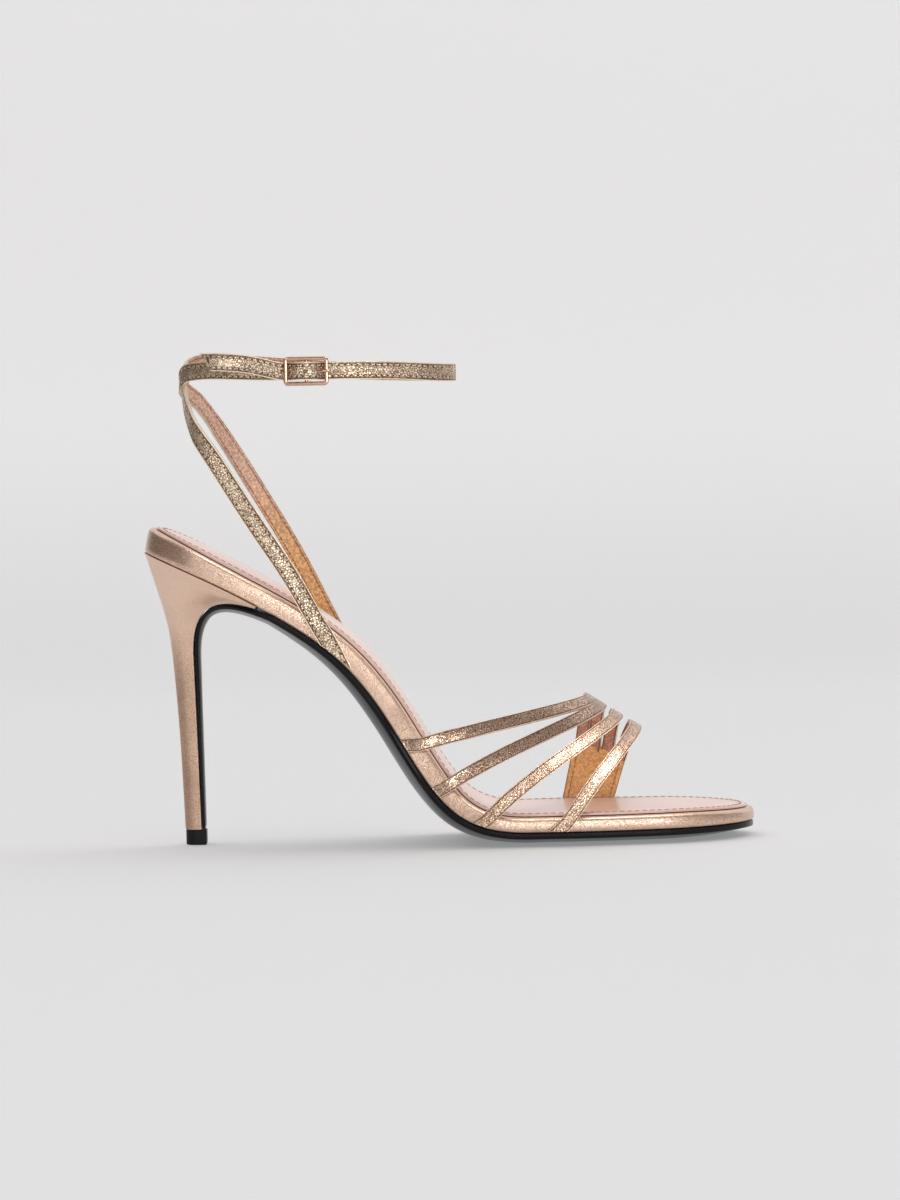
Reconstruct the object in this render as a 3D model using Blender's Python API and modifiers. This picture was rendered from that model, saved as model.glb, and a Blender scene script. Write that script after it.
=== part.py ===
"""A right foot's strappy sandal on a stiletto heel, built outwards from the bottom of its last.

X runs from heel to toe, Y to the inner side of the foot and Z up, in metres. The floor is Z 0, and the
origin is the middle of the flat spot under the ball of the foot.

Each sole layer is drawn flat, as a pattern cutter draws it: distance along the sole, distance across it,
and lift off it. The pattern is then bent over a track, a line in the shoe's middle plane.
"""

import math

import bmesh
import bpy
import numpy as np
from mathutils import Matrix, Vector
from mathutils.geometry import interpolate_bezier

# Last and sole, in metres
SOLE_LENGTH = 0.2068
HEEL_HEIGHT = 0.1006
TOE_SPRING = 0.0006
SEAT_WIDTH = 0.0476
WAIST_WIDTH = 0.0430
BALL_WIDTH = 0.0700
SEAT_ROUND = 0.0238
TOE_ROUND = 0.0350
TOE_SWING = 0.0040
SEAM = 0.0003

# Insole, sock and outsole, in metres
INSOLE_BACK = 0.0087
INSOLE_WAIST = 0.0066
INSOLE_BALL = 0.0050
INSOLE_TOE = 0.0042
INSOLE_ROUND = 0.0016
INSOLE_CORNER = 0.0005
SEAT_FLARE = 0.0012
SOCK_MARGIN = 0.0023
SOCK_THICK = 0.0007
SOCK_PAD = 0.0013
SOCK_PAD_BALL = 0.0002
OUTSOLE_EDGE = 0.0019
OUTSOLE_INSET = 0.0003
TREAD_BELLY = 0.0027
WING_BELLY = 0.0021
WAIST_BELLY = 0.0034
FLAP_EDGE = 0.0010
FLAP_BELLY = 0.0011
FLAP_END_BELLY = 0.0004

# Heel, in metres
HEEL_SET = 0.0123
STEM_LEAN = 0.0015
STEM_SHARE = 0.64
WING_PLACE = 0.200
WING_EDGE = 0.0062
TOP_PIECE_LENGTH = 0.0071
TOP_PIECE_WIDTH = 0.0082
TOP_PIECE_HEIGHT = 0.0050
TOP_PIECE_CHAMFER = 0.0003

# Toe straps and their tab, in metres and degrees
TOE_STRAP_WIDTH = 0.0045
TOE_STRAP_THICK = 0.0014
VAMP_HEIGHT = 0.0426
VAMP_PITCH = 32.0
RIDGE_OFFSET = 0.0060
FOOT_FULLNESS = 0.75
STRAP_SWEEP = 1.22
TAB_THICK = 0.0024
TAB_LEAN = 0.0048
TAB_TURN = 154.0

# Ankle straps and their loop round the leg, in metres
ANKLE_STRAP_WIDTH = 0.0059
ANKLE_STRAP_THICK = 0.0012
ANKLE_HEIGHT = 0.1602
ANKLE_LOOP_LENGTH = 0.0922
ANKLE_LOOP_WIDTH = 0.0460
ANKLE_LOOP_SET = 0.0144
ANKLE_RISE = 0.0042
BUCKLE_LEAD = 0.0080
STRAP_TIP_SLANT = 0.0022
HOLE_RADIUS = 0.0008
HOLE_PITCH = 0.0079

# Buckle, in metres
BUCKLE_LENGTH = 0.0152
BUCKLE_HEIGHT = 0.0098
BUCKLE_BAR = 0.0014
BUCKLE_PIN = 0.0011
PRONG_WIRE = 0.0010
PIN_SET = 0.0015

# Place along the insole, share of the steepest pitch
PITCH = (
    (0.000, 0.370),
    (0.100, 0.440),
    (0.200, 0.520),
    (0.250, 0.575),
    (0.300, 0.700),
    (0.350, 0.845),
    (0.400, 0.950),
    (0.450, 1.000),
    (0.490, 0.980),
    (0.530, 0.895),
    (0.560, 0.745),
    (0.590, 0.520),
    (0.620, 0.295),
    (0.650, 0.120),
    (0.690, 0.000),
    (1.000, 0.000),
)
TREAD_START = 0.690
TREAD_END = 0.790

# Place along the insole, the width that it follows, that width's outer share and inner share
EDGE = (
    (0.00, SEAT_WIDTH, 0.47, 0.47),
    (0.12, SEAT_WIDTH, 0.50, 0.50),
    (0.28, WAIST_WIDTH, 0.51, 0.51),
    (0.40, WAIST_WIDTH, 0.53, 0.47),
    (0.52, BALL_WIDTH, 0.42, 0.34),
    (0.64, BALL_WIDTH, 0.51, 0.43),
    (0.74, BALL_WIDTH, 0.51, 0.49),
    (0.86, BALL_WIDTH, 0.46, 0.46),
    (1.00, BALL_WIDTH, 0.39, 0.37),
)

# Share of the heel's height, share of its set under the seat
HEEL_BACK = (
    (0.000, 1.000),
    (0.190, 0.945),
    (0.360, 0.885),
    (0.490, 0.820),
    (0.620, 0.735),
    (0.720, 0.640),
    (0.800, 0.490),
    (0.860, 0.345),
    (0.920, 0.195),
    (1.000, 0.000),
)

# Share of the way down the heel, its back and its breast as shares from the tip's width to the seat's
HEEL_TAPER = (
    (0.00, 1.000, 1.000),
    (0.06, 0.850, 0.930),
    (0.12, 0.640, 0.780),
    (0.20, 0.400, 0.500),
    (0.28, 0.240, 0.270),
    (0.36, 0.150, 0.140),
    (0.50, 0.070, 0.070),
    (0.75, 0.020, 0.020),
    (1.00, 0.000, 0.000),
)

# Toe straps from the rear forward: foot on the outer edge, its shift over the rim, and the ridge ahead of
# the flat spot's middle, as shares of the sole's length
TOE_STRAPS = (
    ("strap_rear", 0.460, 0.012, 0.039),
    ("strap_second", 0.537, 0.005, 0.056),
    ("strap_third", 0.613, 0.013, 0.083),
    ("strap_front", 0.722, 0.018, 0.113),
)
TAB_AHEAD = 0.060

# From a sling's rim to the crossing: share along the shoe, share up, and out from its middle as a share
SLING_OUTER = (
    (0.180, 0.185, 1.06),
    (0.475, 0.440, 1.08),
    (0.750, 0.685, 0.96),
    (0.915, 0.830, 0.70),
)
SLING_INNER = (
    (0.262, 0.310, 1.06),
    (0.536, 0.590, 1.06),
    (0.768, 0.820, 0.80),
    (0.890, 0.930, 0.42),
)
SLING_OUTER_FOOT = 0.306
SLING_OUTER_RIM = 0.255
SLING_INNER_FOOT = 0.325
SLING_INNER_RIM = 0.279

# Degrees round the loop from the back, inner side first, then height above the ankle's as a share of its rise
LONG_STRAP = (
    (0, -0.86),
    (18, 0.68),
    (36, 0.98),
    (60, 0.80),
    (90, 0.33),
    (120, 0.06),
    (150, -0.06),
    (180, -0.10),
    (210, -0.06),
    (235, 0.14),
)
# The same for the long strap's free end, behind the buckle
STRAP_TIP = (
    (297.0, 0.74),
    (305.0, 0.94),
    (314.0, 1.04),
    (322.5, 1.06),
)
# The same for the strap that holds the buckle, then its distance out in thicknesses
BUCKLE_STRAP = (
    (347.0, 0.06, 0.40),
    (334.0, 0.31, 0.05),
    (320.0, 0.38, 0.00),
    (305.0, 0.30, 0.00),
    (293.0, 0.22, 0.00),
)
BUCKLE_TURN = 274.4
BUCKLE_RISE = 0.21

ROSE_GOLD = (0.80, 0.58, 0.43)
SOCK_PINK = (0.83, 0.67, 0.60)
SOLE_BLACK = (0.015, 0.012, 0.014)
BUCKLE_GOLD = (0.86, 0.62, 0.47)


def interpolate(table, place, column=1):
    """The smooth value of a column at a place, with no overshoot between the rows."""
    xs = [row[0] for row in table]
    ys = [row[column] for row in table]
    if place <= xs[0]:
        return ys[0]
    if place >= xs[-1]:
        return ys[-1]
    steps = [xs[i + 1] - xs[i] for i in range(len(xs) - 1)]
    rates = [(ys[i + 1] - ys[i]) / steps[i] for i in range(len(steps))]

    def slope(i):
        if i in (0, len(steps)):
            return rates[min(i, len(steps) - 1)]
        before, after = rates[i - 1], rates[i]
        if before * after <= 0:
            return 0.0
        return 2 * before * after / (before + after)

    i = next(k for k in range(len(steps)) if place <= xs[k + 1])
    t = (place - xs[i]) / steps[i]
    rise = ys[i + 1] - ys[i]
    bend_in = slope(i) * steps[i] - rise
    bend_out = rise - slope(i + 1) * steps[i]
    return ys[i] + t * rise + t * (1 - t) * ((1 - t) * bend_in + t * bend_out)


def mix(a, b, share):
    return a + (b - a) * share


class Track:
    """A line in the shoe's middle plane, followed by distance, with its lift to the left of travel."""

    REACH = 0.0008

    def __init__(self, points):
        self.points = [Vector(p) for p in points]
        self.marks = [0.0]
        for a, b in zip(self.points, self.points[1:]):
            self.marks.append(self.marks[-1] + (b - a).length)
        self.length = self.marks[-1]

    def point(self, along):
        last = len(self.marks) - 2
        i = min(last, max(0, int(np.searchsorted(self.marks, along)) - 1))
        share = (along - self.marks[i]) / (self.marks[i + 1] - self.marks[i])
        return self.points[i].lerp(self.points[i + 1], share)

    def heading(self, along):
        return (self.point(along + self.REACH) - self.point(along - self.REACH)).normalized()

    def place(self, along, across, lift):
        at = self.point(along)
        ahead = self.heading(along)
        return Vector((at.x - ahead.y * lift, across, at.y + ahead.x * lift))

    def along_at(self, x, lift):
        """The distance at which a point lifted off the track has this X."""
        low, high = 0.0, self.length
        for _ in range(40):
            middle = (low + high) / 2
            if self.place(middle, 0, lift).x < x:
                low = middle
            else:
                high = middle
        return low


TREAD_LEVEL = SEAM + OUTSOLE_EDGE + TREAD_BELLY
TREAD_MIDDLE = (TREAD_START + TREAD_END) / 2
TRACK_STEPS = 600


def bend_last():
    """The underside of the insole: its pitch is scaled until it has the heel's height and the sole's length."""
    arc = SOLE_LENGTH * 1.18
    steepest = math.radians(58)
    toe_pitch = math.radians(4)
    for _ in range(40):
        step = arc / TRACK_STEPS
        x, z, points = 0.0, 0.0, [(0.0, 0.0)]
        rise_at_tread = 0.0
        for i in range(TRACK_STEPS):
            place = (i + 0.5) / TRACK_STEPS
            toe_share = max(0.0, (place - TREAD_END) / (1 - TREAD_END))
            pitch = toe_pitch * toe_share - steepest * interpolate(PITCH, place)
            x += step * math.cos(pitch)
            z += step * math.sin(pitch)
            points.append((x, z))
            if place < TREAD_MIDDLE:
                rise_at_tread = z
        steepest *= (HEEL_HEIGHT - TREAD_LEVEL) / -rise_at_tread
        toe_pitch *= TOE_SPRING / (z - rise_at_tread)
        arc *= SOLE_LENGTH / x
    middle = points[round(TREAD_MIDDLE * TRACK_STEPS)]
    return Track([(px - middle[0], pz - middle[1] + TREAD_LEVEL) for px, pz in points])


LAST = bend_last()
SEAT_BACK = LAST.point(0.0)


def insole_edge(along):
    """The insole's outer and inner edge, as distances across, at a distance along it."""
    place = along / LAST.length
    outer = interpolate([(row[0], row[1] * row[2]) for row in EDGE], place)
    inner = interpolate([(row[0], row[1] * row[3]) for row in EDGE], place)
    seat = 1 - min(1.0, max(0.0, along) / SEAT_ROUND)
    toe = 1 - min(1.0, max(0.0, LAST.length - along) / TOE_ROUND)
    swing = TOE_SWING * interpolate(((0.5, 0.0), (0.8, 0.6), (1.0, 1.0)), place)
    fullness = 2.2
    close = (1 - seat**fullness) ** (1 / fullness) * (1 - toe**fullness) ** (1 / fullness)
    return swing - outer * close, swing + inner * close


def insole_thick(along):
    table = (
        (0.00, INSOLE_BACK),
        (0.16, INSOLE_WAIST),
        (0.50, INSOLE_WAIST),
        (0.66, INSOLE_BALL),
        (0.88, INSOLE_BALL),
        (1.00, INSOLE_TOE),
    )
    return interpolate(table, along / LAST.length)


def flared(inset, height=1.0):
    """A distance in from the edge, less the wall's lean outwards round the seat at a share of its height."""
    table = ((0.00, SEAT_FLARE), (0.12, 0.0), (1.00, 0.0))
    return lambda along: inset - height * interpolate(table, along / LAST.length)


def sock_pad(along):
    """The padding under the sock: thick under the heel and thin under the toes."""
    table = ((0.00, SOCK_PAD_BALL), (0.10, SOCK_PAD), (0.30, SOCK_PAD), (0.70, SOCK_PAD_BALL), (1.00, SOCK_PAD_BALL))
    return interpolate(table, along / LAST.length)


def on_insole(place, outer_side, out, lift):
    """A point beside the insole's wall: out from its edge, and lift above its underside."""
    along = place * LAST.length
    outer, inner = insole_edge(along)
    across = outer - out if outer_side else inner + out
    return LAST.place(along, across, lift)


def crowd_start(start, end, count):
    return [end - (end - start) * math.sin(math.pi / 2 * (1 - i / count)) for i in range(count)]


def crowd_end(start, end, count):
    return [start + (end - start) * math.sin(math.pi / 2 * (i + 1) / count) for i in range(count)]


def even(start, end, count):
    return [mix(start, end, i / count) for i in range(count + 1)]


def new_object(name, mesh, finish):
    mesh.materials.append(finish)
    part = bpy.data.objects.new(name, mesh)
    SHOE.objects.link(part)
    return part


def close_up(name, shape, finish):
    """Turns a shape whose seams coincide into one closed body, shaded smooth."""
    bmesh.ops.remove_doubles(shape, verts=shape.verts, dist=1e-6)
    bmesh.ops.dissolve_degenerate(shape, edges=shape.edges, dist=1e-6)
    bmesh.ops.recalc_face_normals(shape, faces=shape.faces)
    mesh = bpy.data.meshes.new(name)
    shape.to_mesh(mesh)
    shape.free()
    mesh.shade_smooth()
    mesh.set_sharp_from_angle(angle=math.radians(40))
    return new_object(name, mesh, finish)


def loft(name, rings, finish, open_ends=False):
    """Closed rings of points, each joined to the next. Open ends are closed by strips between two halves."""
    shape = bmesh.new()
    rows = [[shape.verts.new(p) for p in ring] for ring in rings]
    size = len(rows[0])
    for row, following in zip(rows, rows[1:]):
        for i in range(size):
            j = (i + 1) % size
            shape.faces.new((row[i], row[j], following[j], following[i]))
    if open_ends:
        for row in (rows[0], rows[-1]):
            for i in range(size // 2 - 1):
                shape.faces.new((row[i], row[i + 1], row[size - 2 - i], row[size - 1 - i]))
    return close_up(name, shape, finish)


def sole_layer(name, track, edge, stations, ends, rings, finish):
    """A layer drawn on a track. Each ring is a share and a distance in from the edge, and a lift."""
    start, end = stations[0], stations[-1]
    rim = [(a, edge(a)[0]) for a in stations] + [(a, edge(a)[1]) for a in reversed(stations)]
    spines = []
    for along, _ in rim:
        centre = min(end - ends[1], max(start + ends[0], along))
        spines.append((centre, sum(edge(centre)) / 2))
    bodies = []
    for share, inset, lift in rings:
        ring = []
        for (along, across), (centre, middle) in zip(rim, spines):
            span = math.hypot(centre - along, middle - across)
            reach = inset(along) if callable(inset) else inset
            pull = 1.0 if span < 1e-6 else min(1.0, share + reach / span)
            at = mix(along, centre, pull)
            ring.append(track.place(at, mix(across, middle, pull), lift(at)))
        bodies.append(ring)
    return loft(name, bodies, finish)


def insole_stations(start=0.0, end=0.0):
    """Places along the insole, closer together round the seat and the toe."""
    stop = LAST.length - end
    return (
        crowd_start(start, SEAT_ROUND, 7)
        + even(SEAT_ROUND, LAST.length - TOE_ROUND, 34)
        + crowd_end(LAST.length - TOE_ROUND, stop, 8)
    )


def make_insole():
    """The padded board, wrapped in leather, with a rounded upper edge."""
    turn = 1 - math.sqrt(0.5)
    rings = [
        (1.0, 0.0, lambda a: 0.0),
        (0.0, INSOLE_CORNER, lambda a: 0.0),
        (0.0, 0.0, lambda a: INSOLE_CORNER),
        (0.0, flared(0.0), lambda a: insole_thick(a) - INSOLE_ROUND),
        (0.0, flared(INSOLE_ROUND * turn), lambda a: insole_thick(a) - INSOLE_ROUND * turn),
        (0.0, flared(INSOLE_ROUND), lambda a: insole_thick(a)),
        (1.0, 0.0, lambda a: insole_thick(a)),
    ]
    ends = (SEAT_ROUND, TOE_ROUND)
    return sole_layer("insole", LAST, insole_edge, insole_stations(), ends, rings, ROSE_LEATHER)


def make_sock():
    """The padded sheet that the foot stands on, set in from the insole's edge."""

    def lift(thick, pad=0.0):
        return lambda a: insole_thick(a) + SEAM + thick + pad * sock_pad(a)

    rings = [
        (1.0, 0.0, lift(0.0)),
        (0.0, flared(SOCK_MARGIN), lift(0.0)),
        (0.0, flared(SOCK_MARGIN), lift(SOCK_THICK * 0.5, 0.15)),
        (0.0, flared(SOCK_MARGIN + SOCK_THICK), lift(SOCK_THICK, 0.3)),
        (0.45, 0.0, lift(SOCK_THICK, 0.75)),
        (1.0, 0.0, lift(SOCK_THICK, 1.0)),
    ]
    ends = (SEAT_ROUND, TOE_ROUND)
    return sole_layer("sock", LAST, insole_edge, insole_stations(), ends, rings, SOCK_LEATHER)


TIP_BACK = SEAT_BACK.x + HEEL_SET
TIP_TOP = TOP_PIECE_HEIGHT + SEAM
BREAST_FOOT = TIP_BACK + TOP_PIECE_LENGTH - FLAP_EDGE - FLAP_END_BELLY
WING_ALONG = WING_PLACE * LAST.length
THROAT_STEPS = 13
STEM_STEPS = 5


def bend_flap():
    """The top of the outsole: up the heel's breast, over the throat, then under the insole to the toe."""
    foot = Vector((BREAST_FOOT, TIP_TOP))
    throat = Vector((BREAST_FOOT - STEM_LEAN, HEEL_HEIGHT * STEM_SHARE))
    wing = LAST.place(WING_ALONG, 0, -SEAM)
    wing = Vector((wing.x, wing.z))
    ahead = LAST.heading(WING_ALONG)
    kink = math.radians(9)
    back = -Vector(
        (
            ahead.x * math.cos(kink) - ahead.y * math.sin(kink),
            ahead.x * math.sin(kink) + ahead.y * math.cos(kink),
        )
    )
    up = (throat - foot).normalized()
    reach = wing.x - throat.x
    handles = (throat, throat + up * reach * 0.78, wing + back * reach * 0.62, wing)
    points = [foot.lerp(throat, i / 8) for i in range(8)]
    count = 48
    for i in range(count + 1):
        t = i / count
        weights = ((1 - t) ** 3, 3 * t * (1 - t) ** 2, 3 * t * t * (1 - t), t**3)
        points.append(sum((h * w for h, w in zip(handles, weights)), Vector((0, 0))))
    rest = even(WING_ALONG, LAST.length, 200)[1:]
    points += [Vector((p.x, p.z)) for p in (LAST.place(a, 0, -SEAM) for a in rest)]
    track = Track(points)
    return track, track.marks[8], track.marks[8 + count]


FLAP, THROAT_ALONG, FLAP_WING = bend_flap()
HEEL_FRONT = FLAP_WING - WING_EDGE
FLAP_STATIONS = even(0.0, THROAT_ALONG, STEM_STEPS) + even(THROAT_ALONG, HEEL_FRONT, THROAT_STEPS)[1:]


def heel_ratio(down, column):
    """The heel's width as a share of the seat's, at a share of the way down it."""
    tip = TOP_PIECE_WIDTH / SEAT_WIDTH
    return tip + (1 - tip) * interpolate(HEEL_TAPER, down, column)


def outsole_edge(along):
    """Under the insole the outsole keeps the insole's edge, and on the heel the breast's width."""
    if along >= FLAP_WING:
        outer, inner = insole_edge(WING_ALONG + along - FLAP_WING)
        return outer + OUTSOLE_INSET, inner - OUTSOLE_INSET
    outer, inner = insole_edge(WING_ALONG)
    ratio = heel_ratio(1 - along / FLAP_WING, 2)
    return (outer + OUTSOLE_INSET) * ratio, (inner - OUTSOLE_INSET) * ratio


def outsole_edge_thick(along):
    table = ((0.0, FLAP_EDGE), (THROAT_ALONG, FLAP_EDGE), (FLAP_WING, OUTSOLE_EDGE))
    return interpolate(table, along)


def outsole_belly(along):
    """How far the middle of the outsole stands below its edge."""
    tread = FLAP_WING + TREAD_START * LAST.length - WING_ALONG
    table = (
        (0.0, FLAP_END_BELLY),
        (THROAT_ALONG, FLAP_BELLY),
        (FLAP_WING, WING_BELLY),
        (mix(FLAP_WING, tread, 0.45), WAIST_BELLY),
        (mix(FLAP_WING, tread, 0.75), WAIST_BELLY),
        (tread - TREAD_BELLY * 4, TREAD_BELLY),
    )
    return interpolate(table, along)


def make_outsole():
    """One leather sole with a rounded belly, from the toe to the foot of the heel's breast."""

    def under(share):
        swell = math.sin(math.pi / 2 * min(1.0, share / 0.6))
        return lambda a: -outsole_edge_thick(a) - outsole_belly(a) * swell

    rings = [(1.0, 0.0, under(1.0))]
    rings += [(share, 0.0, under(share)) for share in (0.60, 0.42, 0.26, 0.12)]
    rings += [(0.0, 0.0, under(0.0)), (0.0, 0.0, lambda a: 0.0), (1.0, 0.0, lambda a: 0.0)]
    tail = LAST.length - WING_ALONG + FLAP_WING
    stations = (
        FLAP_STATIONS
        + even(HEEL_FRONT, tail - TOE_ROUND, 34)[1:]
        + crowd_end(tail - TOE_ROUND, tail - OUTSOLE_INSET, 8)
    )
    ends = (TOP_PIECE_WIDTH / 2, TOE_ROUND)
    return sole_layer("outsole", FLAP, outsole_edge, stations, ends, rings, SOLE_LEATHER)


def heel_back_line():
    """The heel's back edge in the middle plane, from the seat down to the top piece."""
    top = LAST.place(0.0, 0, -SEAM)
    points = [(top.x, top.z)]
    for share in even(0.985, TIP_TOP / HEEL_HEIGHT, 60):
        x = SEAT_BACK.x + HEEL_SET * interpolate(HEEL_BACK, share)
        points.append((x, HEEL_HEIGHT * share))
    return Track(points)


def make_heel():
    """The covered heel: the seat's outline, drawn down into a slim stem with a flat breast."""
    back = heel_back_line()
    front_marks = [HEEL_FRONT] + list(reversed(FLAP_STATIONS))
    front_along = WING_ALONG - WING_EDGE
    across = crowd_start(0.0, 0.5, 7) + even(0.5, 1.0, 6)
    rings = []
    for k, mark in enumerate(front_marks):
        down = 0.0 if k == 0 else 1 - mark / HEEL_FRONT
        down = max(down, 0.035) if k else 0.0
        behind = back.point(down * back.length)
        ahead = FLAP.place(mark, 0, SEAM)
        halves = []
        for share in across:
            seat = LAST.place(share * front_along, 0, -SEAM)
            if k == 0:
                x, z = seat.x, seat.z
            else:
                x = mix(behind.x, ahead.x, share)
                z = mix(behind.y, ahead.z, share)
            outer, inner = insole_edge(share * front_along)
            ratio = mix(heel_ratio(down, 1), heel_ratio(down, 2), share)
            halves.append((x, z, outer * ratio, inner * ratio))
        ring = [Vector((x, outer, z)) for x, z, outer, _ in halves]
        ring += [Vector((x, inner, z)) for x, z, _, inner in reversed(halves)]
        rings.append(ring)
    return loft("heel", rings, ROSE_LEATHER, open_ends=True)


def make_top_piece():
    """The block that meets the floor, under the stem and the outsole's flap."""
    across = crowd_start(0.0, 0.5, 8) + [0.5, 0.8, 1.0]

    def ring(z, inset):
        halves = []
        for share in across:
            x = TIP_BACK + inset + share * (TOP_PIECE_LENGTH - 2 * inset)
            close = math.sqrt(1 - (1 - min(1.0, share / 0.5)) ** 2)
            halves.append((x, close * (TOP_PIECE_WIDTH / 2 - inset)))
        points = [Vector((x, -half, z)) for x, half in halves]
        return points + [Vector((x, half, z)) for x, half in reversed(halves)]

    rings = [
        ring(0.0, TOP_PIECE_CHAMFER),
        ring(TOP_PIECE_CHAMFER, 0.0),
        ring(TOP_PIECE_HEIGHT, 0.0),
    ]
    return loft("top_piece", rings, TOP_PIECE_RUBBER, open_ends=True)


def bake(part):
    """Turns a part's modifiers into its mesh."""
    graph = bpy.context.evaluated_depsgraph_get()
    mesh = bpy.data.meshes.new_from_object(part.evaluated_get(graph))
    part.modifiers.clear()
    part.data = mesh
    return part


def combine(part, tool, operation):
    """Joins a tool to a part or cuts it out of it, and removes the tool."""
    step = part.modifiers.new(operation.lower(), "BOOLEAN")
    step.object = tool
    step.operation = operation
    step.solver = "EXACT"
    bake(part)
    bpy.data.objects.remove(tool)
    return part


def sheet(name, rows, thick, finish):
    """A leather sheet of even thickness through rows of points."""
    shape = bmesh.new()
    grid = [[shape.verts.new(point) for point in row] for row in rows]
    for row, following in zip(grid, grid[1:]):
        for i in range(len(row) - 1):
            shape.faces.new((row[i], row[i + 1], following[i + 1], following[i]))
    mesh = bpy.data.meshes.new(name)
    shape.to_mesh(mesh)
    shape.free()
    part = new_object(name, mesh, finish)
    body = part.modifiers.new("leather", "SOLIDIFY")
    body.thickness = thick
    body.offset = 0
    body.use_even_offset = True
    edges = part.modifiers.new("edges", "BEVEL")
    edges.width = thick * 0.22
    edges.segments = 1
    edges.limit_method = "ANGLE"
    edges.angle_limit = math.radians(60)
    return bake(part)


def ribbon(name, stations, width, thick, finish, slants=(0.0, 0.0)):
    """A strap along stations, each a point and the way its face looks, with its two ends cut on a slant."""
    rows = []
    last = len(stations) - 1
    for i, (point, face) in enumerate(stations):
        ahead = (stations[min(last, i + 1)][0] - stations[max(0, i - 1)][0]).normalized()
        side = ahead.cross(face).normalized() * width / 2
        if i == 0:
            side += ahead * slants[0]
        if i == last:
            side += ahead * slants[1]
        rows.append((point + side, point - side))
    return sheet(name, rows, thick, finish)


def smooth_line(keys, steps):
    """Points along a smooth line through the keys."""
    ends = [keys[0] * 2 - keys[1], *keys, keys[-1] * 2 - keys[-2]]
    line = []
    for a, b, c, d in zip(ends, ends[1:], ends[2:], ends[3:]):
        reach = (c - b).length / 3
        leaving = b + (c - a).normalized() * reach
        arriving = c - (d - b).normalized() * reach
        line += interpolate_bezier(b, leaving, arriving, c, steps)[:-1]
    return line + [keys[-1]]


def on_foot(rim_z, x, ridge_x, turn, thick):
    """A point on the foot's form: turn 0 is the outer edge, 90 the ridge and 180 the inner edge."""
    rise = max(0.0, math.sin(math.radians(turn))) ** FOOT_FULLNESS
    lean = math.cos(math.radians(turn))
    spread = abs(lean) ** FOOT_FULLNESS
    along = LAST.along_at(x, INSOLE_BALL)
    side = 0 if lean > 0 else 1
    out = SEAM + thick / 2
    edge = insole_edge(along)[side] + math.copysign(out, -lean)
    flare = (insole_edge(along + out)[side] - insole_edge(along - out)[side]) / (out * 2)
    slope = math.radians(VAMP_PITCH)
    first = SOLE_LENGTH * TOE_STRAPS[0][3]
    ridge_z = TREAD_LEVEL + VAMP_HEIGHT - math.tan(slope) * (ridge_x - first)
    point = Vector((x, mix(RIDGE_OFFSET, edge, spread), mix(rim_z, ridge_z, rise)))
    turned = math.copysign(spread, lean)
    face = Vector((math.sin(slope) * rise + flare * turned, -turned, math.cos(slope) * rise))
    return point, face.normalized()


def up_the_wall(foot_place, rim_place, outer_side, thick):
    """Stations from the outsole up the insole's wall to its rounded edge."""
    out = SEAM + thick / 2
    rim_lift = insole_thick(rim_place * LAST.length) - INSOLE_ROUND * 0.5
    middle_place = (foot_place + rim_place) / 2
    step = out / LAST.length
    stations = []
    for place, lift in ((foot_place, SEAM), (middle_place, (rim_lift + SEAM) / 2), (rim_place, rim_lift)):
        edge = on_insole(place + step, outer_side, out, lift) - on_insole(place - step, outer_side, out, lift)
        up = on_insole(place, outer_side, out, lift + out) - on_insole(place, outer_side, out, lift)
        face = edge.cross(up) if outer_side else up.cross(edge)
        stations.append((on_insole(place, outer_side, out, lift), face.normalized()))
    return stations


def foot_slant(foot_place, rim_place, width, outer_side):
    """How far a strap's foot is cut on the slant, so that it ends along the outsole."""
    forward = (rim_place - foot_place) * LAST.length
    slant = width / 2 * forward / (insole_thick(rim_place * LAST.length) - INSOLE_ROUND * 0.5)
    return slant if outer_side else -slant


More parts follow.
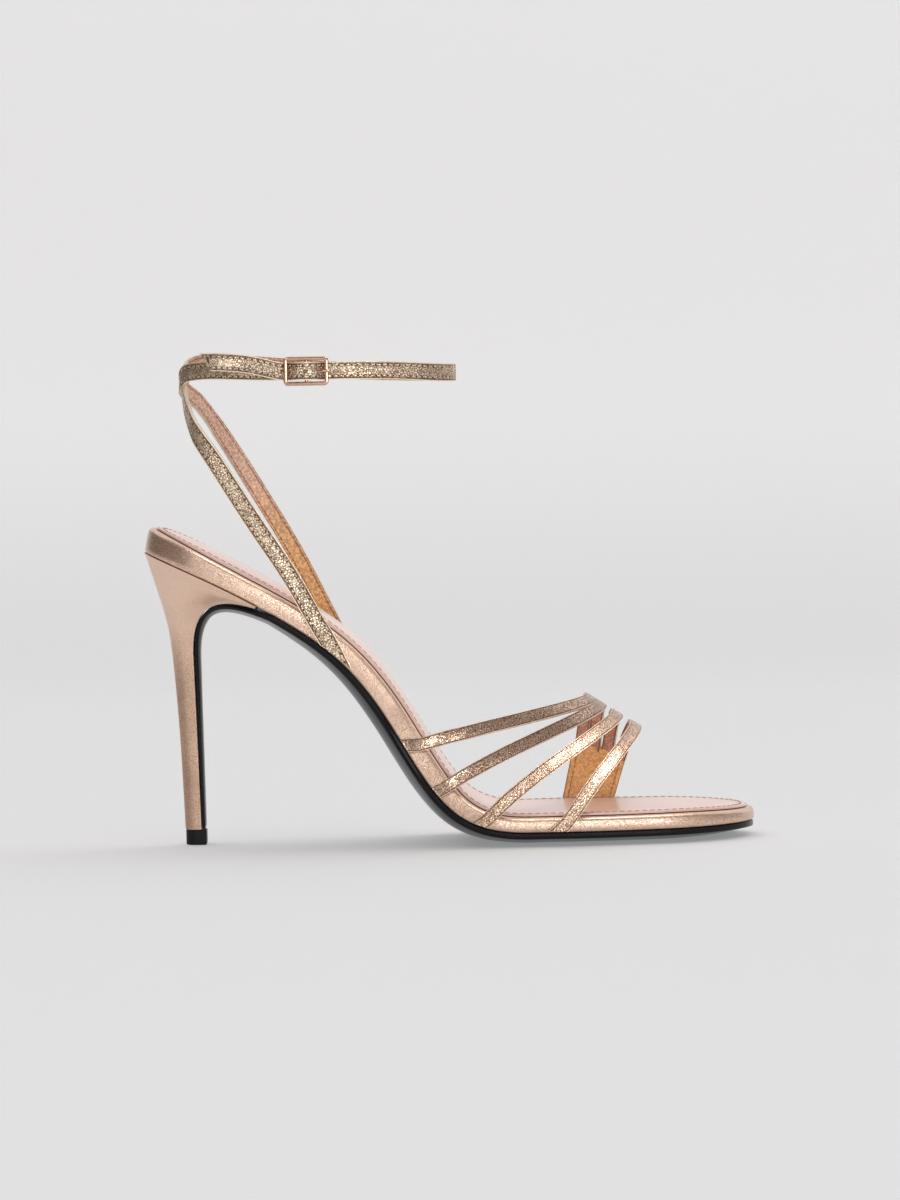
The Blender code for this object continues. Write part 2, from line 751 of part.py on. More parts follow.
def make_toe_straps():
    """Four straps from the outer edge over the toes, side by side down into a tab on the inner edge."""
    tab_x = SOLE_LENGTH * TAB_AHEAD
    bare = math.sin(math.radians(TAB_TURN)) ** FOOT_FULLNESS
    rim_z = LAST.place(LAST.along_at(tab_x, 0), 0, INSOLE_BALL - INSOLE_ROUND * 0.5).z

    def inner_side(turn, step, ridge_x, thick):
        rise = math.sin(math.radians(turn)) ** FOOT_FULLNESS
        top_x = tab_x + step
        if rise < bare:
            x = top_x - TAB_LEAN * (1 - rise / bare)
        else:
            x = mix(top_x, ridge_x, (rise - bare) / (1 - bare))
        return on_foot(rim_z, x, mix(x, ridge_x, rise), turn, thick)

    half = TOE_STRAP_WIDTH * len(TOE_STRAPS) / 2
    columns = []
    for share in (1.0, 0.6, 0.2, -0.2, -0.6, -1.0):
        step = half * share
        place = LAST.along_at(tab_x + step - TAB_LEAN, 0) / LAST.length
        column = [point for point, _ in up_the_wall(place, place, False, TAB_THICK)]
        turns = (176, 171, 166, 160, TAB_TURN)
        column += [inner_side(turn, step, tab_x + step, TAB_THICK)[0] for turn in turns]
        columns.append(column)
    upper = sheet("toe_straps", list(zip(*columns)), TAB_THICK, ROSE_LEATHER)
    for i, (name, place, shift, ahead) in enumerate(TOE_STRAPS):
        ridge_x = SOLE_LENGTH * ahead
        step = (i - (len(TOE_STRAPS) - 1) / 2) * TOE_STRAP_WIDTH
        stations = up_the_wall(place, place + shift, True, TOE_STRAP_THICK)
        rim = stations[-1][0]
        for turn in (3, 7, 13, 21, 30, 39, 48, 57, 66, 74, 82):
            rise = math.sin(math.radians(turn)) ** FOOT_FULLNESS
            x = mix(rim.x, ridge_x, rise**STRAP_SWEEP)
            stations.append(on_foot(rim.z, x, ridge_x, turn, TOE_STRAP_THICK))
        for turn in (90, 98, 107, 116, 125, 134, 143, TAB_TURN, 163):
            stations.append(inner_side(turn, step, ridge_x, TOE_STRAP_THICK))
        slants = (foot_slant(place, place + shift, TOE_STRAP_WIDTH, True), 0.0)
        strap = ribbon(name, stations, TOE_STRAP_WIDTH, TOE_STRAP_THICK, ROSE_LEATHER, slants)
        combine(upper, strap, "UNION")
    return upper


LOOP_BACK = SEAT_BACK.x + ANKLE_LOOP_SET
LOOP_MIDDLE = LOOP_BACK + ANKLE_LOOP_LENGTH / 2


def on_loop(turn, rise, out=0.0):
    """A point on the loop round the leg: turn in degrees from the back, inner side first, and rise as a share."""
    angle = math.radians(turn)
    long, wide = ANKLE_LOOP_LENGTH / 2, ANKLE_LOOP_WIDTH / 2
    face = Vector((-math.cos(angle) / long, math.sin(angle) / wide, 0)).normalized()
    height = ANKLE_HEIGHT + ANKLE_RISE * rise
    point = Vector((LOOP_MIDDLE - long * math.cos(angle), wide * math.sin(angle), height))
    return point + face * out


BUCKLE_AT = on_loop(BUCKLE_TURN, BUCKLE_RISE)
BUCKLE_AHEAD = (on_loop(BUCKLE_TURN - 1, 0) - on_loop(BUCKLE_TURN + 1, 0)).normalized()
BUCKLE_OUT = BUCKLE_AHEAD.cross(Vector((0, 0, 1)))
BAR_TO_STRAP = BUCKLE_BAR / 2 + SEAM + ANKLE_STRAP_THICK / 2
FRAME_OUT = ANKLE_STRAP_THICK / 2 + SEAM / 2 + BAR_TO_STRAP
PIN_OUT = FRAME_OUT - PIN_SET
FOLD = BUCKLE_PIN / 2 + SEAM + ANKLE_STRAP_THICK / 2
EYE = BUCKLE_PIN / 2 + SEAM + PRONG_WIRE / 2
RAIL = BUCKLE_LENGTH / 2 - BUCKLE_BAR / 2


def by_buckle(along, out, up=0.0):
    """A point by the middle of the buckle: along the strap to the front, out from the leg, and up."""
    return BUCKLE_AT + BUCKLE_AHEAD * along + BUCKLE_OUT * out + Vector((0, 0, up))


def upright(line, spin):
    """Gives each point of a line the level way that a strap's face looks there."""
    stations = []
    last = len(line) - 1
    for i, point in enumerate(line):
        ahead = line[min(last, i + 1)] - line[max(0, i - 1)]
        stations.append((point, Vector((0, 0, spin)).cross(ahead).normalized()))
    return stations


def sling(foot_place, rim_place, outer_side, table, crossing):
    """The foot of a sling on the insole's wall, and its keys from there to the crossing."""
    wall = up_the_wall(foot_place, rim_place, outer_side, ANKLE_STRAP_THICK)
    rim = wall[-1][0]
    keys = [rim]
    for along, up, out in table:
        point = Vector((mix(rim.x, crossing.x, along), rim.y * out, mix(rim.z, crossing.z, up)))
        keys.append(point)
    return wall, keys


def make_long_strap():
    """From the outer side behind the leg, round the front, through the buckle and back along itself."""
    over = PIN_OUT + FOLD + ANKLE_STRAP_THICK + SEAM
    lap = ANKLE_STRAP_THICK + SEAM
    crossing = on_loop(*LONG_STRAP[0])
    wall, keys = sling(SLING_OUTER_FOOT, SLING_OUTER_RIM, True, SLING_OUTER, crossing)
    keys += [on_loop(turn, rise) for turn, rise in LONG_STRAP]
    under = FRAME_OUT - BAR_TO_STRAP
    inside = RAIL - BUCKLE_BAR * 0.6
    keys += [by_buckle(RAIL + BUCKLE_LEAD, 0.0), by_buckle(RAIL + BUCKLE_BAR, under * 0.6), by_buckle(inside, under)]
    keys += [by_buckle(RAIL * 0.42, over * 0.76), by_buckle(0, over), by_buckle(-RAIL * 0.42, over * 0.76)]
    keys += [by_buckle(-inside, under), by_buckle(-RAIL - BUCKLE_BAR, under)]
    keys += [on_loop(turn, rise, lap) for turn, rise in STRAP_TIP]
    line = smooth_line(keys, 4)
    slant = foot_slant(SLING_OUTER_FOOT, SLING_OUTER_RIM, ANKLE_STRAP_WIDTH, True)
    stations = wall[:-1] + upright(line, 1)
    slants = (slant, STRAP_TIP_SLANT)
    name = "ankle_straps"
    strap = ribbon(name, stations, ANKLE_STRAP_WIDTH, ANKLE_STRAP_THICK, ROSE_LEATHER, slants)
    for step in (0, 1):
        punch = rod("punch", by_buckle(-HOLE_PITCH * step, 0.0), by_buckle(-HOLE_PITCH * step, over * 2), HOLE_RADIUS)
        combine(strap, punch, "DIFFERENCE")
    slot = wire("prong_slot", prong_line()[8:], PRONG_WIRE / 2 + SEAM)
    return combine(strap, slot, "DIFFERENCE")


def make_buckle_strap():
    """From the inner side behind the leg and forward to the buckle, where it is folded round the pin."""
    crossing = on_loop(0, LONG_STRAP[0][1], ANKLE_STRAP_THICK * 0.55)
    wall, keys = sling(SLING_INNER_FOOT, SLING_INNER_RIM, False, SLING_INNER, crossing)
    keys += [crossing]
    keys += [on_loop(turn, rise, ANKLE_STRAP_THICK * out) for turn, rise, out in BUCKLE_STRAP]
    under = FRAME_OUT - BAR_TO_STRAP - ANKLE_STRAP_THICK - SEAM
    keys += [by_buckle(-RAIL - BUCKLE_BAR, under), by_buckle(-RAIL * 0.8, under), by_buckle(-RAIL * 0.4, PIN_OUT * 1.2)]
    line = smooth_line(keys, 4)
    fold = [(along, PIN_OUT + out) for along, out in turn_round(FOLD, 90, -90, 6)]
    fold += [(-RAIL * 0.4, PIN_OUT - FOLD * 1.15), (-RAIL, -ANKLE_STRAP_THICK * 1.8), (-RAIL * 1.3, -ANKLE_STRAP_THICK * 1.8)]
    line += [by_buckle(along, out) for along, out in fold]
    slant = foot_slant(SLING_INNER_FOOT, SLING_INNER_RIM, ANKLE_STRAP_WIDTH, False)
    stations = wall[:-1] + upright(line, -1)
    slants = (slant, 0.0)
    strap = ribbon("buckle_strap", stations, ANKLE_STRAP_WIDTH, ANKLE_STRAP_THICK, ROSE_LEATHER, slants)
    size = (RAIL, FOLD * 2 + ANKLE_STRAP_THICK * 2, PRONG_WIRE + SEAM * 2)
    return combine(strap, block("prong_gap", (RAIL * 0.14, PIN_OUT, 0.0), size, 0.0), "DIFFERENCE")


def turn_round(radius, start, end, count):
    """Points round the buckle's pin, as distances along the strap and out, at angles in degrees."""
    angles = [math.radians(mix(start, end, i / count)) for i in range(count + 1)]
    return [(math.cos(angle) * radius, math.sin(angle) * radius) for angle in angles]


def prong_line():
    """The prong's line: round the pin, then under the long strap and through it onto the front rail."""
    top = FRAME_OUT + BUCKLE_BAR / 2 + PRONG_WIRE / 2 + SEAM / 2
    points = [(along, PIN_OUT + out) for along, out in turn_round(EYE, -20, -270, 10)]
    points += [(RAIL * 0.30, PIN_OUT + EYE * 1.1), (RAIL * 0.60, mix(PIN_OUT + EYE, top, 0.6))]
    points += [(RAIL * 0.85, top * 0.98), (RAIL, top), (RAIL + BUCKLE_BAR * 0.75, top - BUCKLE_BAR * 0.15)]
    return [by_buckle(along, out) for along, out in points]


def wire(name, line, radius):
    """A round wire along a line."""
    curve = bpy.data.curves.new(name, "CURVE")
    curve.dimensions = "3D"
    curve.bevel_depth = radius
    curve.bevel_resolution = 1
    curve.use_fill_caps = True
    spline = curve.splines.new("POLY")
    spline.points.add(len(line) - 1)
    for knot, point in zip(spline.points, line):
        knot.co = (*point, 1)
    source = bpy.data.objects.new(name, curve)
    SHOE.objects.link(source)
    graph = bpy.context.evaluated_depsgraph_get()
    shape = bmesh.new()
    shape.from_mesh(bpy.data.meshes.new_from_object(source.evaluated_get(graph)))
    bpy.data.objects.remove(source)
    return close_up(name, shape, BUCKLE_METAL)


def rod(name, start, end, radius):
    """A round rod between two points."""
    return wire(name, [start, end], radius)


def block(name, middle, size, round_off):
    """A box by the buckle: its middle and size along the strap, out and up, with rounded outer corners."""
    bpy.ops.mesh.primitive_cube_add(size=1)
    part = bpy.context.object
    part.name = name
    for collection in list(part.users_collection):
        collection.objects.unlink(part)
    SHOE.objects.link(part)
    part.data.materials.append(BUCKLE_METAL)
    turn = Matrix((BUCKLE_AHEAD, BUCKLE_OUT, (0, 0, 1))).transposed().to_4x4()
    shape = bmesh.new()
    shape.from_mesh(part.data)
    bmesh.ops.scale(shape, vec=size, verts=shape.verts)
    if round_off:
        posts = [e for e in shape.edges if abs(e.verts[0].co.y - e.verts[1].co.y) > size[1] / 2]
        bmesh.ops.bevel(shape, geom=posts, offset=round_off, segments=3, profile=0.5, affect="EDGES")
    bmesh.ops.transform(shape, matrix=Matrix.Translation(by_buckle(*middle)) @ turn, verts=shape.verts)
    bmesh.ops.recalc_face_normals(shape, faces=shape.faces)
    shape.to_mesh(part.data)
    shape.free()
    return part


def make_buckle():
    """A rectangular frame with a pin across its middle, set in from its face, and a prong on the pin."""
    outer = (BUCKLE_LENGTH, BUCKLE_BAR, BUCKLE_HEIGHT)
    inner = (BUCKLE_LENGTH - 2 * BUCKLE_BAR, BUCKLE_BAR * 2, BUCKLE_HEIGHT - 2 * BUCKLE_BAR)
    frame = block("buckle_frame", (0, FRAME_OUT, 0), outer, BUCKLE_BAR * 0.9)
    combine(frame, block("opening", (0, FRAME_OUT, 0), inner, BUCKLE_BAR * 0.4), "DIFFERENCE")
    reach = (BUCKLE_HEIGHT - BUCKLE_BAR) / 2
    depth = PIN_SET + BUCKLE_PIN / 2 + BUCKLE_BAR / 4
    for up in (-reach, reach):
        middle = (0, FRAME_OUT + BUCKLE_BAR / 4 - depth / 2, up)
        size = (BUCKLE_PIN * 1.7, depth, BUCKLE_BAR * 0.8)
        combine(frame, block("lug", middle, size, 0.0), "UNION")
    pin = rod("pin", by_buckle(0, PIN_OUT, -reach), by_buckle(0, PIN_OUT, reach), BUCKLE_PIN / 2)
    combine(frame, pin, "UNION")
    edges = frame.modifiers.new("edges", "BEVEL")
    edges.width = BUCKLE_BAR * 0.13
    edges.segments = 1
    edges.limit_method = "ANGLE"
    edges.angle_limit = math.radians(50)
    bake(frame)
    return wire("buckle_prong", prong_line(), PRONG_WIRE / 2)


def leather(name, colour, metallic, roughness):
    finish = bpy.data.materials.new(name)
    finish.use_nodes = True
    shader = finish.node_tree.nodes["Principled BSDF"]
    shader.inputs["Base Color"].default_value = (*colour, 1)
    shader.inputs["Metallic"].default_value = metallic
    shader.inputs["Roughness"].default_value = roughness
    return finish


for stale in list(bpy.data.objects):
    bpy.data.objects.remove(stale)

SHOE = bpy.data.collections.new("strappy_sandal")
bpy.context.scene.collection.children.link(SHOE)
ROSE_LEATHER = leather("rose_gold_leather", ROSE_GOLD, 0.75, 0.38)
SOCK_LEATHER = leather("sock_leather", SOCK_PINK, 0.15, 0.5)
SOLE_LEATHER = leather("sole_leather", SOLE_BLACK, 0.0, 0.3)
TOP_PIECE_RUBBER = leather("top_piece_rubber", SOLE_BLACK, 0.0, 0.6)
BUCKLE_METAL = leather("buckle_metal", BUCKLE_GOLD, 1.0, 0.2)

make_insole()
make_sock()
make_outsole()
make_heel()
make_top_piece()
make_toe_straps()
combine(make_long_strap(), make_buckle_strap(), "UNION")
make_buckle()
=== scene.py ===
"""Dresses the strappy sandal in its leathers, on a pale studio floor.

The sizes, tables and lines are the CAD model's, so that each covering lies where its solid does. Every
covering starts as a flat piece of leather, a grid, and is laid over the last row by row.
"""

import math

import bpy
import numpy as np
from mathutils import Matrix, Vector
from mathutils.geometry import interpolate_bezier


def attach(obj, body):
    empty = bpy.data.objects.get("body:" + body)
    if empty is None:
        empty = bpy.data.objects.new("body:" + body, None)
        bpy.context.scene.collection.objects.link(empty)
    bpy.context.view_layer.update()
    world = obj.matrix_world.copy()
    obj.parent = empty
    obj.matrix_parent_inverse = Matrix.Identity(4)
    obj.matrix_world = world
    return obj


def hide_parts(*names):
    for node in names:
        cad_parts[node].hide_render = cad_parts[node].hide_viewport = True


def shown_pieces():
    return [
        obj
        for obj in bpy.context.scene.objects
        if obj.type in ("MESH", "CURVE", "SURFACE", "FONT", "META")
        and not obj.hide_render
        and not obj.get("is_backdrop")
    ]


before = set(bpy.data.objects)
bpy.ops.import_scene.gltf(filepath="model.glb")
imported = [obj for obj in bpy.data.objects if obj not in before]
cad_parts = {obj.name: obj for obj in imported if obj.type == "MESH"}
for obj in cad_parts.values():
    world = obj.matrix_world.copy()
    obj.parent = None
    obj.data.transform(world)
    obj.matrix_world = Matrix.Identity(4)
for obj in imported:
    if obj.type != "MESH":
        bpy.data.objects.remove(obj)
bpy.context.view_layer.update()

# Last and sole, in metres
SOLE_LENGTH = 0.2068
HEEL_HEIGHT = 0.1006
TOE_SPRING = 0.0006
SEAT_WIDTH = 0.0476
WAIST_WIDTH = 0.0430
BALL_WIDTH = 0.0700
SEAT_ROUND = 0.0238
TOE_ROUND = 0.0350
TOE_SWING = 0.0040
SEAM = 0.0003

# Insole, sock and outsole, in metres
INSOLE_BACK = 0.0087
INSOLE_WAIST = 0.0066
INSOLE_BALL = 0.0050
INSOLE_TOE = 0.0042
INSOLE_ROUND = 0.0016
INSOLE_CORNER = 0.0005
SEAT_FLARE = 0.0012
SOCK_MARGIN = 0.0023
SOCK_THICK = 0.0007
SOCK_PAD = 0.0013
SOCK_PAD_BALL = 0.0002
OUTSOLE_EDGE = 0.0019
OUTSOLE_INSET = 0.0003
TREAD_BELLY = 0.0027
WING_BELLY = 0.0021
WAIST_BELLY = 0.0034
FLAP_EDGE = 0.0010
FLAP_BELLY = 0.0011
FLAP_END_BELLY = 0.0004

# Heel, in metres
HEEL_SET = 0.0123
STEM_LEAN = 0.0015
STEM_SHARE = 0.64
WING_PLACE = 0.200
WING_EDGE = 0.0062
TOP_PIECE_LENGTH = 0.0071
TOP_PIECE_WIDTH = 0.0082
TOP_PIECE_HEIGHT = 0.0050

# Toe straps and their tab, in metres and degrees
TOE_STRAP_WIDTH = 0.0045
TOE_STRAP_THICK = 0.0014
VAMP_HEIGHT = 0.0426
VAMP_PITCH = 32.0
RIDGE_OFFSET = 0.0060
FOOT_FULLNESS = 0.75
STRAP_SWEEP = 1.22
TAB_THICK = 0.0024
TAB_LEAN = 0.0048
TAB_TURN = 154.0

# Ankle straps and their loop round the leg, in metres
ANKLE_STRAP_WIDTH = 0.0059
ANKLE_STRAP_THICK = 0.0012
ANKLE_HEIGHT = 0.1602
ANKLE_LOOP_LENGTH = 0.0922
ANKLE_LOOP_WIDTH = 0.0460
ANKLE_LOOP_SET = 0.0144
ANKLE_RISE = 0.0042
BUCKLE_LEAD = 0.0080
STRAP_TIP_SLANT = 0.0022
HOLE_RADIUS = 0.0008
HOLE_PITCH = 0.0079

# Buckle, in metres
BUCKLE_LENGTH = 0.0152
BUCKLE_HEIGHT = 0.0098
BUCKLE_BAR = 0.0014
BUCKLE_PIN = 0.0011
PRONG_WIRE = 0.0010
PIN_SET = 0.0015

# Place along the insole, share of the steepest pitch
PITCH = (
    (0.000, 0.370),
    (0.100, 0.440),
    (0.200, 0.520),
    (0.250, 0.575),
    (0.300, 0.700),
    (0.350, 0.845),
    (0.400, 0.950),
    (0.450, 1.000),
    (0.490, 0.980),
    (0.530, 0.895),
    (0.560, 0.745),
    (0.590, 0.520),
    (0.620, 0.295),
    (0.650, 0.120),
    (0.690, 0.000),
    (1.000, 0.000),
)
TREAD_START = 0.690
TREAD_END = 0.790

# Place along the insole, the width that it follows, that width's outer share and inner share
EDGE = (
    (0.00, SEAT_WIDTH, 0.47, 0.47),
    (0.12, SEAT_WIDTH, 0.50, 0.50),
    (0.28, WAIST_WIDTH, 0.51, 0.51),
    (0.40, WAIST_WIDTH, 0.53, 0.47),
    (0.52, BALL_WIDTH, 0.42, 0.34),
    (0.64, BALL_WIDTH, 0.51, 0.43),
    (0.74, BALL_WIDTH, 0.51, 0.49),
    (0.86, BALL_WIDTH, 0.46, 0.46),
    (1.00, BALL_WIDTH, 0.39, 0.37),
)

# Share of the heel's height, share of its set under the seat
HEEL_BACK = (
    (0.000, 1.000),
    (0.190, 0.945),
    (0.360, 0.885),
    (0.490, 0.820),
    (0.620, 0.735),
    (0.720, 0.640),
    (0.800, 0.490),
    (0.860, 0.345),
    (0.920, 0.195),
    (1.000, 0.000),
)

# Share of the way down the heel, its back and its breast as shares from the tip's width to the seat's
HEEL_TAPER = (
    (0.00, 1.000, 1.000),
    (0.06, 0.850, 0.930),
    (0.12, 0.640, 0.780),
    (0.20, 0.400, 0.500),
    (0.28, 0.240, 0.270),
    (0.36, 0.150, 0.140),
    (0.50, 0.070, 0.070),
    (0.75, 0.020, 0.020),
    (1.00, 0.000, 0.000),
)

# Toe straps from the rear forward: foot on the outer edge, its shift over the rim, and the ridge ahead of
# the flat spot's middle, as shares of the sole's length
TOE_STRAPS = (
    ("strap_rear", 0.460, 0.012, 0.039),
    ("strap_second", 0.537, 0.005, 0.056),
    ("strap_third", 0.613, 0.013, 0.083),
    ("strap_front", 0.722, 0.018, 0.113),
)
TAB_AHEAD = 0.060

# From a sling's rim to the crossing: share along the shoe, share up, and out from its middle as a share
SLING_OUTER = (
    (0.180, 0.185, 1.06),
    (0.475, 0.440, 1.08),
    (0.750, 0.685, 0.96),
    (0.915, 0.830, 0.70),
)
SLING_INNER = (
    (0.262, 0.310, 1.06),
    (0.536, 0.590, 1.06),
    (0.768, 0.820, 0.80),
    (0.890, 0.930, 0.42),
)
SLING_OUTER_FOOT = 0.306
SLING_OUTER_RIM = 0.255
SLING_INNER_FOOT = 0.325
SLING_INNER_RIM = 0.279

# Degrees round the loop from the back, inner side first, then height above the ankle's as a share of its rise
LONG_STRAP = (
    (0, -0.86),
    (18, 0.68),
    (36, 0.98),
    (60, 0.80),
    (90, 0.33),
    (120, 0.06),
    (150, -0.06),
    (180, -0.10),
    (210, -0.06),
    (235, 0.14),
)

# The same for the long strap's free end, behind the buckle
STRAP_TIP = (
    (297.0, 0.74),
    (305.0, 0.94),
    (314.0, 1.04),
    (322.5, 1.06),
)

# The same for the strap that holds the buckle, then its distance out in thicknesses
BUCKLE_STRAP = (
    (347.0, 0.06, 0.40),
    (334.0, 0.31, 0.05),
    (320.0, 0.38, 0.00),
    (305.0, 0.30, 0.00),
    (293.0, 0.22, 0.00),
)
BUCKLE_TURN = 274.4
BUCKLE_RISE = 0.21


def interpolate(table, place, column=1):
    """The smooth value of a column at a place, with no overshoot between the rows."""
    xs = [row[0] for row in table]
    ys = [row[column] for row in table]
    if place <= xs[0]:
        return ys[0]
    if place >= xs[-1]:
        return ys[-1]
    steps = [xs[i + 1] - xs[i] for i in range(len(xs) - 1)]
    rates = [(ys[i + 1] - ys[i]) / steps[i] for i in range(len(steps))]

    def slope(i):
        if i in (0, len(steps)):
            return rates[min(i, len(steps) - 1)]
        before, after = rates[i - 1], rates[i]
        if before * after <= 0:
            return 0.0
        return 2 * before * after / (before + after)

    i = next(k for k in range(len(steps)) if place <= xs[k + 1])
    t = (place - xs[i]) / steps[i]
    rise = ys[i + 1] - ys[i]
    bend_in = slope(i) * steps[i] - rise
    bend_out = rise - slope(i + 1) * steps[i]
    return ys[i] + t * rise + t * (1 - t) * ((1 - t) * bend_in + t * bend_out)


def mix(a, b, share):
    return a + (b - a) * share


class Track:
    """A line in the shoe's middle plane, followed by distance, with its lift to the left of travel."""

    REACH = 0.0008

    def __init__(self, points):
        self.points = [Vector(p) for p in points]
        self.marks = [0.0]
        for a, b in zip(self.points, self.points[1:]):
            self.marks.append(self.marks[-1] + (b - a).length)
        self.length = self.marks[-1]

    def point(self, along):
        last = len(self.marks) - 2
        i = min(last, max(0, int(np.searchsorted(self.marks, along)) - 1))
        share = (along - self.marks[i]) / (self.marks[i + 1] - self.marks[i])
        return self.points[i].lerp(self.points[i + 1], share)

    def heading(self, along):
        return (self.point(along + self.REACH) - self.point(along - self.REACH)).normalized()

    def place(self, along, across, lift):
        at = self.point(along)
        ahead = self.heading(along)
        return Vector((at.x - ahead.y * lift, across, at.y + ahead.x * lift))

    def along_at(self, x, lift):
        """The distance at which a point lifted off the track has this X."""
        low, high = 0.0, self.length
        for _ in range(40):
            middle = (low + high) / 2
            if self.place(middle, 0, lift).x < x:
                low = middle
            else:
                high = middle
        return low


TREAD_LEVEL = SEAM + OUTSOLE_EDGE + TREAD_BELLY
TREAD_MIDDLE = (TREAD_START + TREAD_END) / 2
TRACK_STEPS = 600


def bend_last():
    """The insole's underside, its pitch scaled until it has the heel's height and the sole's length."""
    arc = SOLE_LENGTH * 1.18
    steepest = math.radians(58)
    toe_pitch = math.radians(4)
    for _ in range(40):
        step = arc / TRACK_STEPS
        x, z, points = 0.0, 0.0, [(0.0, 0.0)]
        rise_at_tread = 0.0
        for i in range(TRACK_STEPS):
            place = (i + 0.5) / TRACK_STEPS
            toe_share = max(0.0, (place - TREAD_END) / (1 - TREAD_END))
            pitch = toe_pitch * toe_share - steepest * interpolate(PITCH, place)
            x += step * math.cos(pitch)
            z += step * math.sin(pitch)
            points.append((x, z))
            if place < TREAD_MIDDLE:
                rise_at_tread = z
        steepest *= (HEEL_HEIGHT - TREAD_LEVEL) / -rise_at_tread
        toe_pitch *= TOE_SPRING / (z - rise_at_tread)
        arc *= SOLE_LENGTH / x
    middle = points[round(TREAD_MIDDLE * TRACK_STEPS)]
    return Track([(px - middle[0], pz - middle[1] + TREAD_LEVEL) for px, pz in points])


LAST = bend_last()
SEAT_BACK = LAST.point(0.0)


def insole_edge(along):
    """The insole's outer and inner edge, as distances across, at a distance along it."""
    place = along / LAST.length
    outer = interpolate([(row[0], row[1] * row[2]) for row in EDGE], place)
    inner = interpolate([(row[0], row[1] * row[3]) for row in EDGE], place)
    seat = 1 - min(1.0, max(0.0, along) / SEAT_ROUND)
    toe = 1 - min(1.0, max(0.0, LAST.length - along) / TOE_ROUND)
    swing = TOE_SWING * interpolate(((0.5, 0.0), (0.8, 0.6), (1.0, 1.0)), place)
    fullness = 2.2
    close = (1 - seat**fullness) ** (1 / fullness) * (1 - toe**fullness) ** (1 / fullness)
    return swing - outer * close, swing + inner * close


def insole_thick(along):
    table = (
        (0.00, INSOLE_BACK),
        (0.16, INSOLE_WAIST),
        (0.50, INSOLE_WAIST),
        (0.66, INSOLE_BALL),
        (0.88, INSOLE_BALL),
        (1.00, INSOLE_TOE),
    )
    return interpolate(table, along / LAST.length)


def flared(inset, height=1.0):
    """A distance in from the edge, less the wall's lean outwards round the seat at a share of its height."""
    table = ((0.00, SEAT_FLARE), (0.12, 0.0), (1.00, 0.0))
    return lambda along: inset - height * interpolate(table, along / LAST.length)


def sock_pad(along):
    """The padding under the sock: thick under the heel and thin under the toes."""
    table = (
        (0.00, SOCK_PAD_BALL),
        (0.10, SOCK_PAD),
        (0.30, SOCK_PAD),
        (0.70, SOCK_PAD_BALL),
        (1.00, SOCK_PAD_BALL),
    )
    return interpolate(table, along / LAST.length)


def on_insole(place, outer_side, out, lift):
    """A point beside the insole's wall: out from its edge, and lift above its underside."""
    along = place * LAST.length
    outer, inner = insole_edge(along)
    across = outer - out if outer_side else inner + out
    return LAST.place(along, across, lift)


def crowd_start(start, end, count):
    return [end - (end - start) * math.sin(math.pi / 2 * (1 - i / count)) for i in range(count)]


def crowd_end(start, end, count):
    return [start + (end - start) * math.sin(math.pi / 2 * (i + 1) / count) for i in range(count)]


def even(start, end, count):
    return [mix(start, end, i / count) for i in range(count + 1)]


TIP_BACK = SEAT_BACK.x + HEEL_SET
TIP_TOP = TOP_PIECE_HEIGHT + SEAM
BREAST_FOOT = TIP_BACK + TOP_PIECE_LENGTH - FLAP_EDGE - FLAP_END_BELLY
WING_ALONG = WING_PLACE * LAST.length


def bend_flap():
    """The top of the outsole: up the heel's breast, over the throat, then under the insole to the toe."""
    foot = Vector((BREAST_FOOT, TIP_TOP))
    throat = Vector((BREAST_FOOT - STEM_LEAN, HEEL_HEIGHT * STEM_SHARE))
    wing = LAST.place(WING_ALONG, 0, -SEAM)
    wing = Vector((wing.x, wing.z))
    ahead = LAST.heading(WING_ALONG)
    kink = math.radians(9)
    back = -Vector(
        (
            ahead.x * math.cos(kink) - ahead.y * math.sin(kink),
            ahead.x * math.sin(kink) + ahead.y * math.cos(kink),
        )
    )
    up = (throat - foot).normalized()
    reach = wing.x - throat.x
    handles = (throat, throat + up * reach * 0.78, wing + back * reach * 0.62, wing)
    points = [foot.lerp(throat, i / 8) for i in range(8)]
    count = 48
    for i in range(count + 1):
        t = i / count
        weights = ((1 - t) ** 3, 3 * t * (1 - t) ** 2, 3 * t * t * (1 - t), t**3)
        points.append(sum((h * w for h, w in zip(handles, weights)), Vector((0, 0))))
    rest = even(WING_ALONG, LAST.length, 200)[1:]
    points += [Vector((p.x, p.z)) for p in (LAST.place(a, 0, -SEAM) for a in rest)]
    track = Track(points)
    return track, track.marks[8], track.marks[8 + count]


FLAP, THROAT_ALONG, FLAP_WING = bend_flap()
HEEL_FRONT = FLAP_WING - WING_EDGE


def heel_ratio(down, column):
    """The heel's width as a share of the seat's, at a share of the way down it."""
    tip = TOP_PIECE_WIDTH / SEAT_WIDTH
    return tip + (1 - tip) * interpolate(HEEL_TAPER, down, column)


def outsole_edge(along):
    """Under the insole the outsole keeps the insole's edge, and on the heel the breast's width."""
    if along >= FLAP_WING:
        outer, inner = insole_edge(WING_ALONG + along - FLAP_WING)
        return outer + OUTSOLE_INSET, inner - OUTSOLE_INSET
    outer, inner = insole_edge(WING_ALONG)
    ratio = heel_ratio(1 - along / FLAP_WING, 2)
    return (outer + OUTSOLE_INSET) * ratio, (inner - OUTSOLE_INSET) * ratio


def outsole_edge_thick(along):
    table = ((0.0, FLAP_EDGE), (THROAT_ALONG, FLAP_EDGE), (FLAP_WING, OUTSOLE_EDGE))
    return interpolate(table, along)


